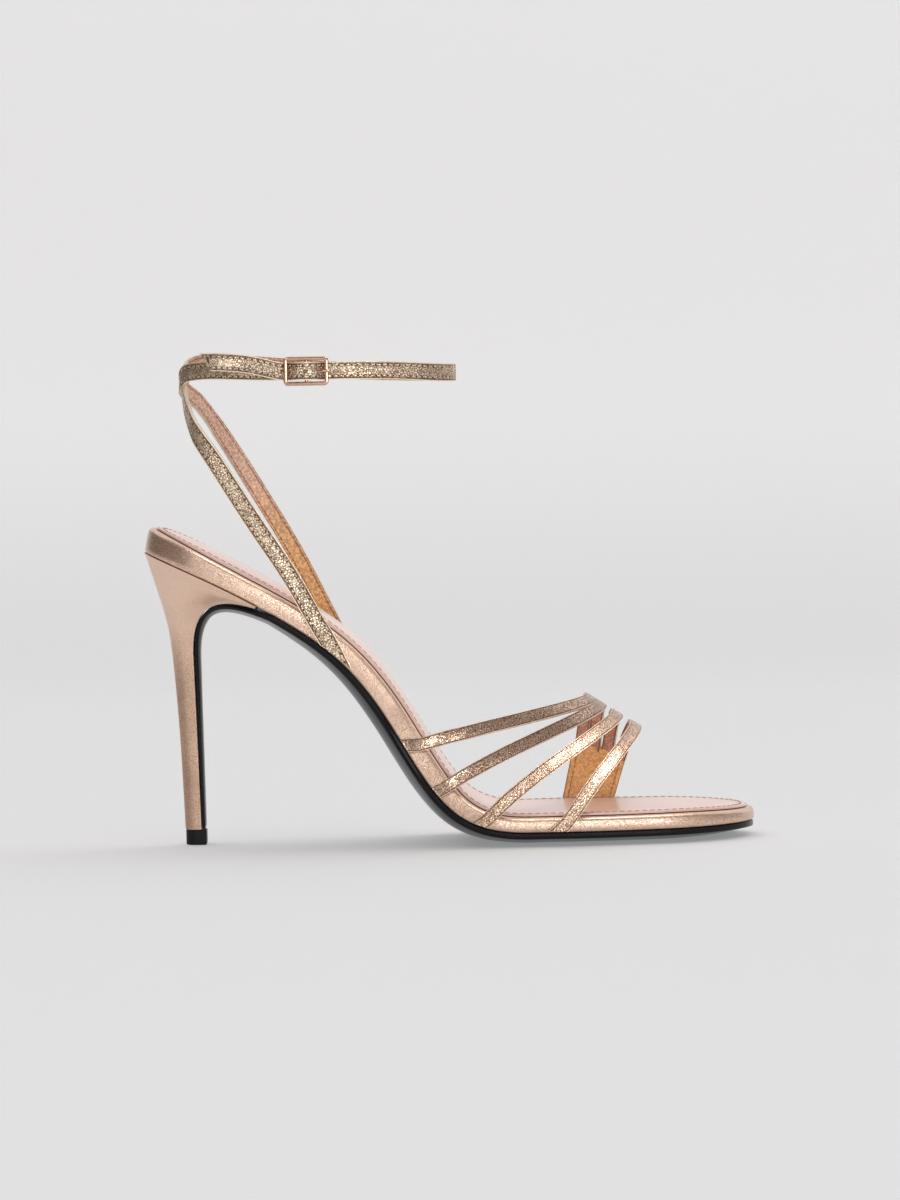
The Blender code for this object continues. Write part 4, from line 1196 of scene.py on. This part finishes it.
def cover_sock():
    """The sock: a padded sheet with a rounded edge, pressed down along its stitches."""

    def lift(thick, pad=0.0):
        return lambda a: insole_thick(a) + SEAM + thick + pad * sock_pad(a)

    rings = [(1.0, 0.0, lift(0.0), 0.03), (0.0, flared(SOCK_MARGIN), lift(0.0), SOCK_MARGIN)]
    for step in range(0, 6):
        angle = math.radians(90 * step / 5)
        inset = SOCK_MARGIN + SOCK_THICK * (1 - math.cos(angle)) * 0.8
        rise = 0.4 + 0.6 * math.sin(angle)
        rings.append((0.0, flared(inset), lift(SOCK_THICK * rise, 0.25 * rise), inset))
    for inset, dip, pad in (
        (0.0014, 0.0, 0.31),
        (0.0018, 0.3, 0.34),
        (STITCH_IN, 0.6, STITCH_RISE),
        (0.0024, 0.3, 0.38),
        (0.0030, 0.0, 0.42),
    ):
        at = SOCK_MARGIN + inset
        rings.append((0.0, flared(at), lift(SOCK_THICK - STITCH_DIP * dip, pad), at))
    for share, pad in ((0.32, 0.62), (0.45, 0.75), (0.62, 0.87), (0.82, 0.96), (1.0, 1.0)):
        rings.append((share, 0.0, lift(SOCK_THICK, pad), 0.01 + share * 0.02))
    ends = (SEAT_ROUND, TOE_ROUND)
    piece = sole_covering("sock_cover", LAST, insole_edge, fine_insole_stations(), ends, rings, [SOCK_PINK])
    finish_piece(piece, "sock")


def sew_sock():
    """The stitches round the sock, each a short length of thread lying in the dip inside its edge."""
    stations = fine_insole_stations()
    inset = SOCK_MARGIN + STITCH_IN
    centres = [min(LAST.length - TOE_ROUND, max(SEAT_ROUND, a)) for a in stations]
    loop = []
    for side, step in ((0, 1), (1, -1)):
        for along, centre in list(zip(stations, centres))[::step]:
            across, middle = insole_edge(along)[side], sum(insole_edge(centre)) / 2
            span = math.hypot(centre - along, middle - across)
            pull = 1.0 if span < 1e-6 else min(1.0, flared(inset)(along) / span)
            at = mix(along, centre, pull)
            lift = insole_thick(at) + SEAM + SOCK_THICK + STITCH_RISE * sock_pad(at)
            loop.append(LAST.place(at, mix(across, middle, pull), lift - STITCH_DIP * 0.6 + THREAD * 0.2))
    sew("sock_stitches", loop, "sock")


def sew(name, line, node):
    """Lays stitches end to end along a line."""
    marks = running(line)
    count = int(marks[-1] / STITCH_PITCH)
    thread = []
    for k in range(count):
        ends = [point_along(line, marks, k * STITCH_PITCH + reach) for reach in (0.0, STITCH_LENGTH)]
        ahead = (ends[1] - ends[0]).normalized()
        up = ahead.cross(Vector((0, 1, 0)) if abs(ahead.y) < 0.9 else Vector((1, 0, 0))).normalized()
        bar = []
        for share, size in ((0.0, 0.0), (0.06, 0.6), (0.25, 1.0), (0.75, 1.0), (0.94, 0.6), (1.0, 0.0)):
            bar.append((ends[0].lerp(ends[1], share), up * size, ahead.cross(up) * size))
        thread.append(rounded_bar("stitch", bar, [circle(THREAD / 2, 8)] * len(bar), SOCK_THREAD))
    lift_selection()
    for stitch in thread:
        stitch.select_set(True)
    bpy.context.view_layer.objects.active = thread[0]
    bpy.ops.object.join()
    thread[0].name = thread[0].data.name = name
    finish_piece(thread[0], node, 60)


def point_along(line, marks, mark):
    for i in range(1, len(line)):
        if marks[i] >= mark:
            return line[i - 1].lerp(line[i], (mark - marks[i - 1]) / max(marks[i] - marks[i - 1], 1e-9))
    return line[-1]


def cover_outsole():
    """The leather outsole: a square edge, a rolled corner and a rounded belly."""

    def under(share):
        swell = math.sin(math.pi / 2 * min(1.0, share / 0.6))
        return lambda a: -outsole_edge_thick(a) - outsole_belly(a) * swell

    corner = SOLE_CORNER
    shares = (1.0, 0.60, 0.50, 0.42, 0.34, 0.26, 0.19, 0.12, 0.06)
    rings = [(share, 0.0, under(share), 0.01 + share * 0.02) for share in shares]
    rings.append((0.0, corner, lambda a: under(0.0)(a) - corner * 0.2, 0.0004))
    rings.append((0.0, 0.0, lambda a: under(0.0)(a) + corner, 0.0))
    rings.append((0.0, 0.0, lambda a: under(0.0)(a) * 0.5, -0.0006))
    rings.append((0.0, 0.0, lambda a: -corner, -0.0012))
    rings.append((0.0, corner, lambda a: 0.0, -0.0016))
    rings.append((1.0, 0.0, lambda a: 0.0, -0.03))
    tail = LAST.length - WING_ALONG + FLAP_WING
    stations = (
        even(0.0, THROAT_ALONG, 24)
        + even(THROAT_ALONG, HEEL_FRONT, 46)[1:]
        + even(HEEL_FRONT, tail - TOE_ROUND, 110)[1:]
        + crowd_end(tail - TOE_ROUND, tail - OUTSOLE_INSET, 26)
    )
    ends = (TOP_PIECE_WIDTH / 2, TOE_ROUND)
    piece = sole_covering("outsole_cover", FLAP, outsole_edge, stations, ends, rings, [SOLE_BLACK])
    finish_piece(piece, "outsole")


def cover_heel():
    """The heel's leather cover, wrapped from the seat down to the top piece, with a flat breast."""
    back = heel_back_line()
    marks = even(0.0, THROAT_ALONG, 30) + even(THROAT_ALONG, HEEL_FRONT, 60)[1:]
    front_marks = [HEEL_FRONT] + list(reversed(marks))
    front_along = WING_ALONG - WING_EDGE
    across = crowd_start(0.0, 0.5, 20) + even(0.5, 1.0, 14)
    rows, patches = [], []
    for k, mark in enumerate(front_marks):
        down = mix(0.035, 1.0, 1 - mark / HEEL_FRONT) if k else 0.0
        behind = back.point(down * back.length)
        ahead = FLAP.place(mark, 0, SEAM)
        halves = []
        for share in across:
            seat = LAST.place(share * front_along, 0, -SEAM)
            if k == 0:
                x, z = seat.x, seat.z
            else:
                x = mix(behind.x, ahead.x, share)
                z = mix(behind.y, ahead.z, share)
            outer, inner = insole_edge(share * front_along)
            ratio = mix(heel_ratio(down, 1), heel_ratio(down, 2), share)
            halves.append((x, z, outer * ratio, inner * ratio))
        row = [Vector((x, outer, z)) for x, z, outer, _ in halves]
        row += [Vector((x, inner, z)) for x, z, _, inner in reversed(halves)]
        row.append(row[0])
        rows.append(row)
    count = len(across)
    for end in (0, -1):
        row = rows[end]
        middle = [(row[i] + row[2 * count - 1 - i]) / 2 for i in range(count)]
        cap = middle + list(reversed(middle)) + [middle[0]]
        rows.insert(0 if end == 0 else len(rows), cap)
    for row in rows:
        patches.append([(mark, row[0].z) for mark in running(row)])
    piece = lay("heel_cover", rows, patches, [HEEL_FOIL], closed=True)
    finish_piece(piece, "heel", 50)


# Toe straps


def toe_strap_lines():
    tab_x = SOLE_LENGTH * TAB_AHEAD
    bare = math.sin(math.radians(TAB_TURN)) ** FOOT_FULLNESS
    rim_z = LAST.place(LAST.along_at(tab_x, 0), 0, INSOLE_BALL - INSOLE_ROUND * 0.5).z

    def inner_side(turn, step, ridge_x, thick):
        rise = math.sin(math.radians(turn)) ** FOOT_FULLNESS
        top_x = tab_x + step
        if rise < bare:
            x = top_x - TAB_LEAN * (1 - rise / bare)
        else:
            x = mix(top_x, ridge_x, (rise - bare) / (1 - bare))
        return on_foot(rim_z, x, mix(x, ridge_x, rise), turn, thick)

    return tab_x, inner_side


def make_toe_straps():
    """Four narrow straps, each from the outer wall over the toes and down into the tab."""
    inner_side = toe_strap_lines()[1]
    for i, (name, place, shift, ahead) in enumerate(TOE_STRAPS):
        ridge_x = SOLE_LENGTH * ahead
        step = (i - (len(TOE_STRAPS) - 1) / 2) * TOE_STRAP_WIDTH
        stations = up_the_wall(place, place + shift, True, TOE_STRAP_THICK)
        rim = stations[-1][0]
        eased = (1, len(stations) + 4)
        for turn in (3, 7, 13, 21, 30, 39, 48, 57, 66, 74, 82):
            rise = math.sin(math.radians(turn)) ** FOOT_FULLNESS
            x = mix(rim.x, ridge_x, rise**STRAP_SWEEP)
            stations.append(on_foot(rim.z, x, ridge_x, turn, TOE_STRAP_THICK))
        for turn in (90, 98, 107, 116, 125, 134, 143, TAB_TURN, TAB_TURN + 3):
            stations.append(inner_side(turn, step, ridge_x, TOE_STRAP_THICK))
        slants = (foot_slant(place, place + shift, TOE_STRAP_WIDTH, True), 0.0)
        finishes = [TOE_FOIL, TOE_LINING, STRAP_EDGE]
        sizes = (TOE_STRAP_WIDTH, TOE_STRAP_THICK)
        piece = strap_leather("toe_" + name, stations, *sizes, finishes, slants, eased=eased)
        finish_piece(piece, "toe_straps")


def make_tab():
    """The tab on the inner side: two layers stitched round the ends of the four straps."""
    tab_x, inner_side = toe_strap_lines()
    half = TOE_STRAP_WIDTH * len(TOE_STRAPS) / 2
    columns = []
    shares = [1 - i / 9 for i in range(19)]
    for share in shares:
        step = half * share
        place = LAST.along_at(tab_x + step - TAB_LEAN, 0) / LAST.length
        column = [point for point, _ in up_the_wall(place, place, False, TAB_THICK)]
        turns = (176, 171, 166, 160, TAB_TURN)
        column += [inner_side(turn, step, tab_x + step, TAB_THICK)[0] for turn in turns]
        columns.append(smooth_line(column, 4))
    rows = [list(row) for row in zip(*columns)]
    marks = running(columns[len(columns) // 2])
    patches = [[(mark, half * share) for share in shares] for mark in marks]
    piece = lay("tab", rows, patches, [TAB_FOIL, TAB_LINING, TAB_EDGE])
    back_with_lining(piece, Vector((0, 1, 0)), TAB_THICK, TAB_CORNER, even=True)
    finish_piece(piece, "toe_straps")


# Ankle straps

ANKLE_SIZES = (ANKLE_STRAP_WIDTH, ANKLE_STRAP_THICK)
ANKLE_FINISHES = [ANKLE_FOIL, STRAP_LINING, STRAP_EDGE]


def punch(piece, start, end, radius, finish):
    """Cuts a round hole through a strap."""
    lift_selection()
    line = end - start
    turn = line.to_track_quat("Z", "Y").to_euler()
    bpy.ops.mesh.primitive_cylinder_add(
        vertices=32, radius=radius, depth=line.length, location=(start + end) / 2, rotation=turn
    )
    cutter = bpy.context.object
    cutter.data.materials.append(finish)
    cut = piece.modifiers.new("punch", "BOOLEAN")
    cut.object = cutter
    cut.operation = "DIFFERENCE"
    cut.solver = "EXACT"
    cut.material_mode = "TRANSFER"
    apply_modifiers(piece)
    bpy.data.objects.remove(cutter)


def make_long_strap():
    over = PIN_OUT + FOLD + ANKLE_STRAP_THICK + SEAM
    lap = ANKLE_STRAP_THICK + SEAM
    crossing = on_loop(*LONG_STRAP[0])
    wall, keys = sling(SLING_OUTER_FOOT, SLING_OUTER_RIM, True, SLING_OUTER, crossing)
    keys += [on_loop(turn, rise) for turn, rise in LONG_STRAP]
    under = FRAME_OUT - BAR_TO_STRAP
    inside = RAIL - BUCKLE_BAR * 0.6
    passage = (
        (RAIL + BUCKLE_LEAD, 0.0),
        (RAIL + BUCKLE_BAR, under * 0.6),
        (inside, under),
        (RAIL * 0.42, over * 0.76),
        (0, over),
        (-RAIL * 0.42, over * 0.76),
        (-inside, under),
        (-RAIL - BUCKLE_BAR, under),
    )
    keys += [by_buckle(along, out) for along, out in passage]
    keys += [on_loop(turn, rise, lap) for turn, rise in STRAP_TIP]
    stations = wall[:-1] + upright(smooth_line(keys, 4), 1)
    slant = foot_slant(SLING_OUTER_FOOT, SLING_OUTER_RIM, ANKLE_STRAP_WIDTH, True)
    slants = (slant, STRAP_TIP_SLANT)
    piece = strap_leather("long_strap", stations, *ANKLE_SIZES, ANKLE_FINISHES, slants)
    for step in (0, 1):
        at = -HOLE_PITCH * step
        punch(piece, by_buckle(at, 0.0), by_buckle(at, over * 2), HOLE_RADIUS, STRAP_EDGE)
    finish_piece(piece, "ankle_straps")


def make_buckle_strap():
    crossing = on_loop(0, LONG_STRAP[0][1], ANKLE_STRAP_THICK * 0.55)
    wall, keys = sling(SLING_INNER_FOOT, SLING_INNER_RIM, False, SLING_INNER, crossing)
    keys += [crossing]
    keys += [on_loop(turn, rise, ANKLE_STRAP_THICK * out) for turn, rise, out in BUCKLE_STRAP]
    under = FRAME_OUT - BAR_TO_STRAP - ANKLE_STRAP_THICK - SEAM
    keys += [by_buckle(-RAIL - BUCKLE_BAR, under), by_buckle(-RAIL * 0.8, under)]
    keys.append(by_buckle(-RAIL * 0.4, PIN_OUT * 1.2))
    line = smooth_line(keys, 4)
    fold = [(along, PIN_OUT + out) for along, out in turn_round(FOLD, 90, -90, 6)]
    inwards = -ANKLE_STRAP_THICK * 1.8
    fold += [(-RAIL * 0.4, PIN_OUT - FOLD * 1.15), (-RAIL, inwards), (-RAIL * 1.3, inwards)]
    line += [by_buckle(along, out) for along, out in fold]
    stations = wall[:-1] + upright(line, -1)
    slant = foot_slant(SLING_INNER_FOOT, SLING_INNER_RIM, ANKLE_STRAP_WIDTH, False)
    piece = strap_leather("buckle_strap", stations, *ANKLE_SIZES, ANKLE_FINISHES, (slant, 0.0))
    finish_piece(piece, "ankle_straps")


# Buckle


def rounded_bar(name, line, sections, finish):
    """A bar along a line. A section is its points round the line, as shares of the two directions given."""
    rows = [[point + a * u + b * v for u, v in section] for (point, a, b), section in zip(line, sections)]
    patches = [[(mark, mark) for mark in running(row)] for row in rows]
    return lay(name, rows, patches, [finish], closed=True)


def circle(radius, count, fullness=1.0):
    """Points round a circle, or round a squarer bar with a fullness below 1. The last is the first again."""
    points = []
    for i in range(count + 1):
        turn = math.tau * (i % count) / count
        sides = (math.cos(turn), math.sin(turn))
        points.append(tuple(math.copysign(abs(side) ** fullness, side) * radius for side in sides))
    return points


def make_buckle_frame():
    """A rounded rectangle of half-round bar, with a pin behind its middle in two lugs."""
    long, tall = BUCKLE_LENGTH / 2 - BUCKLE_BAR / 2, BUCKLE_HEIGHT / 2 - BUCKLE_BAR / 2
    bend = BUCKLE_BAR * 0.55
    line = []
    for degrees in range(0, 360, 10):
        turn = math.radians(degrees + 0.001)
        away = Vector((math.cos(turn), math.sin(turn)))
        for corner in ((1, 1), (-1, 1), (-1, -1), (1, -1)):
            if away.x * corner[0] >= -0.01 and away.y * corner[1] >= -0.01:
                spot = Vector((corner[0] * (long - bend), corner[1] * (tall - bend))) + away * bend
                line.append((spot, away))
    line.sort(key=lambda step: math.atan2(step[0].y, step[0].x))
    line.append(line[0])
    places = []
    for spot, away in line:
        ahead = by_buckle(away.x, 0, away.y) - by_buckle(0, 0, 0)
        places.append((by_buckle(spot.x, FRAME_OUT, spot.y), ahead, BUCKLE_OUT))
    section = circle(BUCKLE_BAR / 2, 20, 0.72)
    piece = rounded_bar("buckle_ring", places, [section] * len(places), BUCKLE_GOLD)
    finish_piece(piece, "buckle_frame", 60)
    pin = [(by_buckle(0, PIN_OUT, up), BUCKLE_AHEAD, BUCKLE_OUT) for up in (-tall, -tall, tall, tall)]
    sections = [circle(size, 16) for size in (0.0, BUCKLE_PIN / 2, BUCKLE_PIN / 2, 0.0)]
    finish_piece(rounded_bar("buckle_pin", pin, sections, BUCKLE_GOLD), "buckle_frame", 60)
    depth = PIN_SET + BUCKLE_PIN / 2 + BUCKLE_BAR / 4
    for name, up in (("lower_lug", -tall), ("upper_lug", tall)):
        middle = FRAME_OUT + BUCKLE_BAR / 4 - depth / 2
        half = BUCKLE_BAR * 0.4
        wide, deep = BUCKLE_AHEAD * BUCKLE_PIN * 0.85, BUCKLE_OUT * depth / 2
        lug = [(by_buckle(0, middle, up + side), wide, deep) for side in (-half, -half, half, half)]
        block = circle(1.0, 24, 0.3)
        sections = [[(0, 0)] * len(block), block, block, [(0, 0)] * len(block)]
        finish_piece(rounded_bar(name, lug, sections, BUCKLE_GOLD), "buckle_frame", 60)


def make_buckle_prong():
    """The prong: a wire curled round the pin, across the strap and over the front bar, with blunt ends."""
    radius = PRONG_WIRE / 2
    up = Vector((0, 0, 1))
    points = smooth_line(prong_line(), 3)
    start, end = (points[0] - points[1]).normalized(), (points[-1] - points[-2]).normalized()
    spots = [(points[0] + start * radius * share, share) for share in (1.0, 0.87, 0.5)]
    spots += [(point, 0.0) for point in points]
    spots += [(points[-1] + end * radius * share, share) for share in (0.5, 0.87, 1.0)]
    line, sections = [], []
    for i, (point, share) in enumerate(spots):
        ahead = (spots[min(len(spots) - 1, i + 1)][0] - spots[max(0, i - 1)][0]).normalized()
        line.append((point, ahead.cross(up).normalized(), up))
        sections.append(circle(radius * math.sqrt(1 - share * share), 14))
    finish_piece(rounded_bar("prong", line, sections, BUCKLE_GOLD), "buckle_prong", 60)


cover_insole()
cover_sock()
sew_sock()
cover_outsole()
cover_heel()
make_toe_straps()
make_tab()
make_long_strap()
make_buckle_strap()
make_buckle_frame()
make_buckle_prong()

top_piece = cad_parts["top_piece"]
top_piece.data.materials.clear()
top_piece.data.materials.append(TOP_PIECE_RUBBER)


# Studio

PAPER_PALE = 0.90
PAPER_GLOW = 0.585
FLOOR_GLOW = (0.364, 0.371, 0.379)
WALL_GLOW = (0.66, 0.668, 0.676)
ROOM_WHITE = (0.95, 0.95, 0.96)
ROOM_DIM = (0.10, 0.075, 0.06)
ROOM_STRENGTH = 1.06
SWEEP_DEPTH = 1.6
SWEEP_BEND = 0.8
SWEEP_HEIGHT = 2.2
SWEEP_WIDTH = 2.2
SWEEP_FRONT = -3.0


def make_sweep():
    """A floor that curves up into a backdrop, as a roll of studio paper does."""
    line = [(SWEEP_FRONT, 0.0), (SWEEP_DEPTH - SWEEP_BEND, 0.0)]
    for degrees in range(6, 91, 6):
        turn = math.radians(degrees)
        line.append((SWEEP_DEPTH - SWEEP_BEND * (1 - math.sin(turn)), SWEEP_BEND * (1 - math.cos(turn))))
    line.append((SWEEP_DEPTH, SWEEP_HEIGHT))
    sides = (-SWEEP_WIDTH / 2, SWEEP_WIDTH / 2)
    rows = [[Vector((x, y, z)) for x in sides] for y, z in line]
    bench = Bench("studio_paper")
    haze = bench.cloud(0.4, 2.0)
    paper = bench.blend(haze, (PAPER_PALE,) * 3, (PAPER_PALE * 0.985,) * 3)
    height = bench.upwards(bench.place())
    glow = bench.blend(height.ramp(-0.05, 0.15), FLOOR_GLOW, WALL_GLOW)
    finish = bench.finished(
        Base_Color=paper, Roughness=0.9, Emission_Color=glow, Emission_Strength=PAPER_GLOW
    )
    patches = [[(point.x, point.y) for point in row] for row in rows]
    sweep = lay("studio_sweep", rows, patches, [finish])
    bpy.ops.object.shade_smooth()
    sweep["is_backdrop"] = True


def softbox(name, at, aim, size, power, lit):
    """An area lamp at a place, aimed at another, that lights one collection of pieces."""
    lamp = bpy.data.lights.new(name, "AREA")
    lamp.shape = "RECTANGLE"
    lamp.size, lamp.size_y = size
    lamp.energy = power
    light = bpy.data.objects.new(name, lamp)
    bpy.context.scene.collection.objects.link(light)
    way = Vector(aim) - Vector(at)
    light.matrix_world = Matrix.Translation(at) @ way.to_track_quat("-Z", "Y").to_matrix().to_4x4()
    light.light_linking.receiver_collection = lit


def light_studio():
    """A white room with a dim band in front, at the heel and at the toe, and softboxes on the shoe alone."""
    air = Bench("studio_air", world=True)
    way = air.node("ShaderNodeTexCoord", {}, (), "Generated")
    x, y, z = (air.node("ShaderNodeSeparateXYZ", {}, (way,), axis) for axis in "XYZ")
    front = z.ramp(0.08, 0.18) * y.ramp(0.20, -0.10)
    heel_side = x.ramp(-0.45, -0.62) * z.ramp(0.60, 0.46)
    toe_side = x.ramp(0.80, 0.92) * abs(z).ramp(0.35, 0.2)
    dim = (front * 0.78 + heel_side + toe_side * 0.85).held()
    glow = air.blend(dim, ROOM_WHITE, ROOM_DIM)
    air.fill(air.shader.inputs["Color"], glow)
    air.shader.inputs["Strength"].default_value = ROOM_STRENGTH
    bpy.context.scene.world = air.finish
    body = collection("lit_body", lambda name: not name.startswith("toe_strap"))
    ahead = collection("lit_front_straps", lambda name: name in ("toe_strap_third", "toe_strap_front"))
    ankle = collection("lit_ankle", lambda name: name == "long_strap")
    whole = collection("lit_shoe", lambda name: True)
    softbox("overhead_softbox", (0.25, -0.35, 1.0), (0.0, 0, 0.05), (0.6, 0.4), 4.0, body)
    softbox("front_softbox", (0.5, -1.7, 0.1), (-0.03, 0, 0.08), (0.9, 0.2), 3.8, whole)
    softbox("front_left_softbox", (-0.6, -1.6, 0.8), (-0.05, 0, 0.10), (0.5, 0.5), 2.0, body)
    softbox("toe_softbox", (0.80, -0.65, 0.80), (0.04, 0, 0.03), (0.85, 0.85), 20.0, ahead)
    behind = collection("lit_rear_straps", lambda name: name in ("toe_strap_rear", "toe_strap_second"))
    softbox("feet_softbox", (-1.3, -1.0, 0.10), (0.0, -0.02, 0.02), (0.7, 0.35), 9.0, behind)
    softbox("tip_softbox", (-1.15, -1.0, 0.30), (-0.1, 0, 0.16), (0.5, 0.4), 2.4, ankle)


def collection(name, chosen):
    """The pieces whose names are chosen, for a lamp that shines on them alone."""
    group = bpy.data.collections.new(name)
    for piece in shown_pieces():
        if chosen(piece.name):
            group.objects.link(piece)
    return group


CAMERA_AT = Vector((-0.0393, -1.81, 0.162))
CAMERA_AIM = Vector((-0.0393, 0.0, 0.0821))
CAMERA_ROLL = 1.0
PIXELS_PER_METRE = 2930
PHOTO_HEIGHT = 1200
SENSOR = 36


def set_camera():
    lens = bpy.data.cameras.new("photo_camera")
    camera = bpy.data.objects.new("photo_camera", lens)
    bpy.context.scene.collection.objects.link(camera)
    bpy.context.scene.camera = camera
    lens.sensor_fit = "AUTO"
    lens.sensor_width = SENSOR
    lens.lens = PIXELS_PER_METRE * -CAMERA_AT.y / PHOTO_HEIGHT * SENSOR
    lens.clip_start = 0.01
    way = (CAMERA_AIM - CAMERA_AT).to_track_quat("-Z", "Y").to_matrix()
    roll = Matrix.Rotation(-math.radians(CAMERA_ROLL), 3, "Z")
    camera.matrix_world = Matrix.Translation(CAMERA_AT) @ (way @ roll).to_4x4()


make_sweep()
light_studio()
set_camera()

bpy.context.scene.view_settings.view_transform = "Standard"
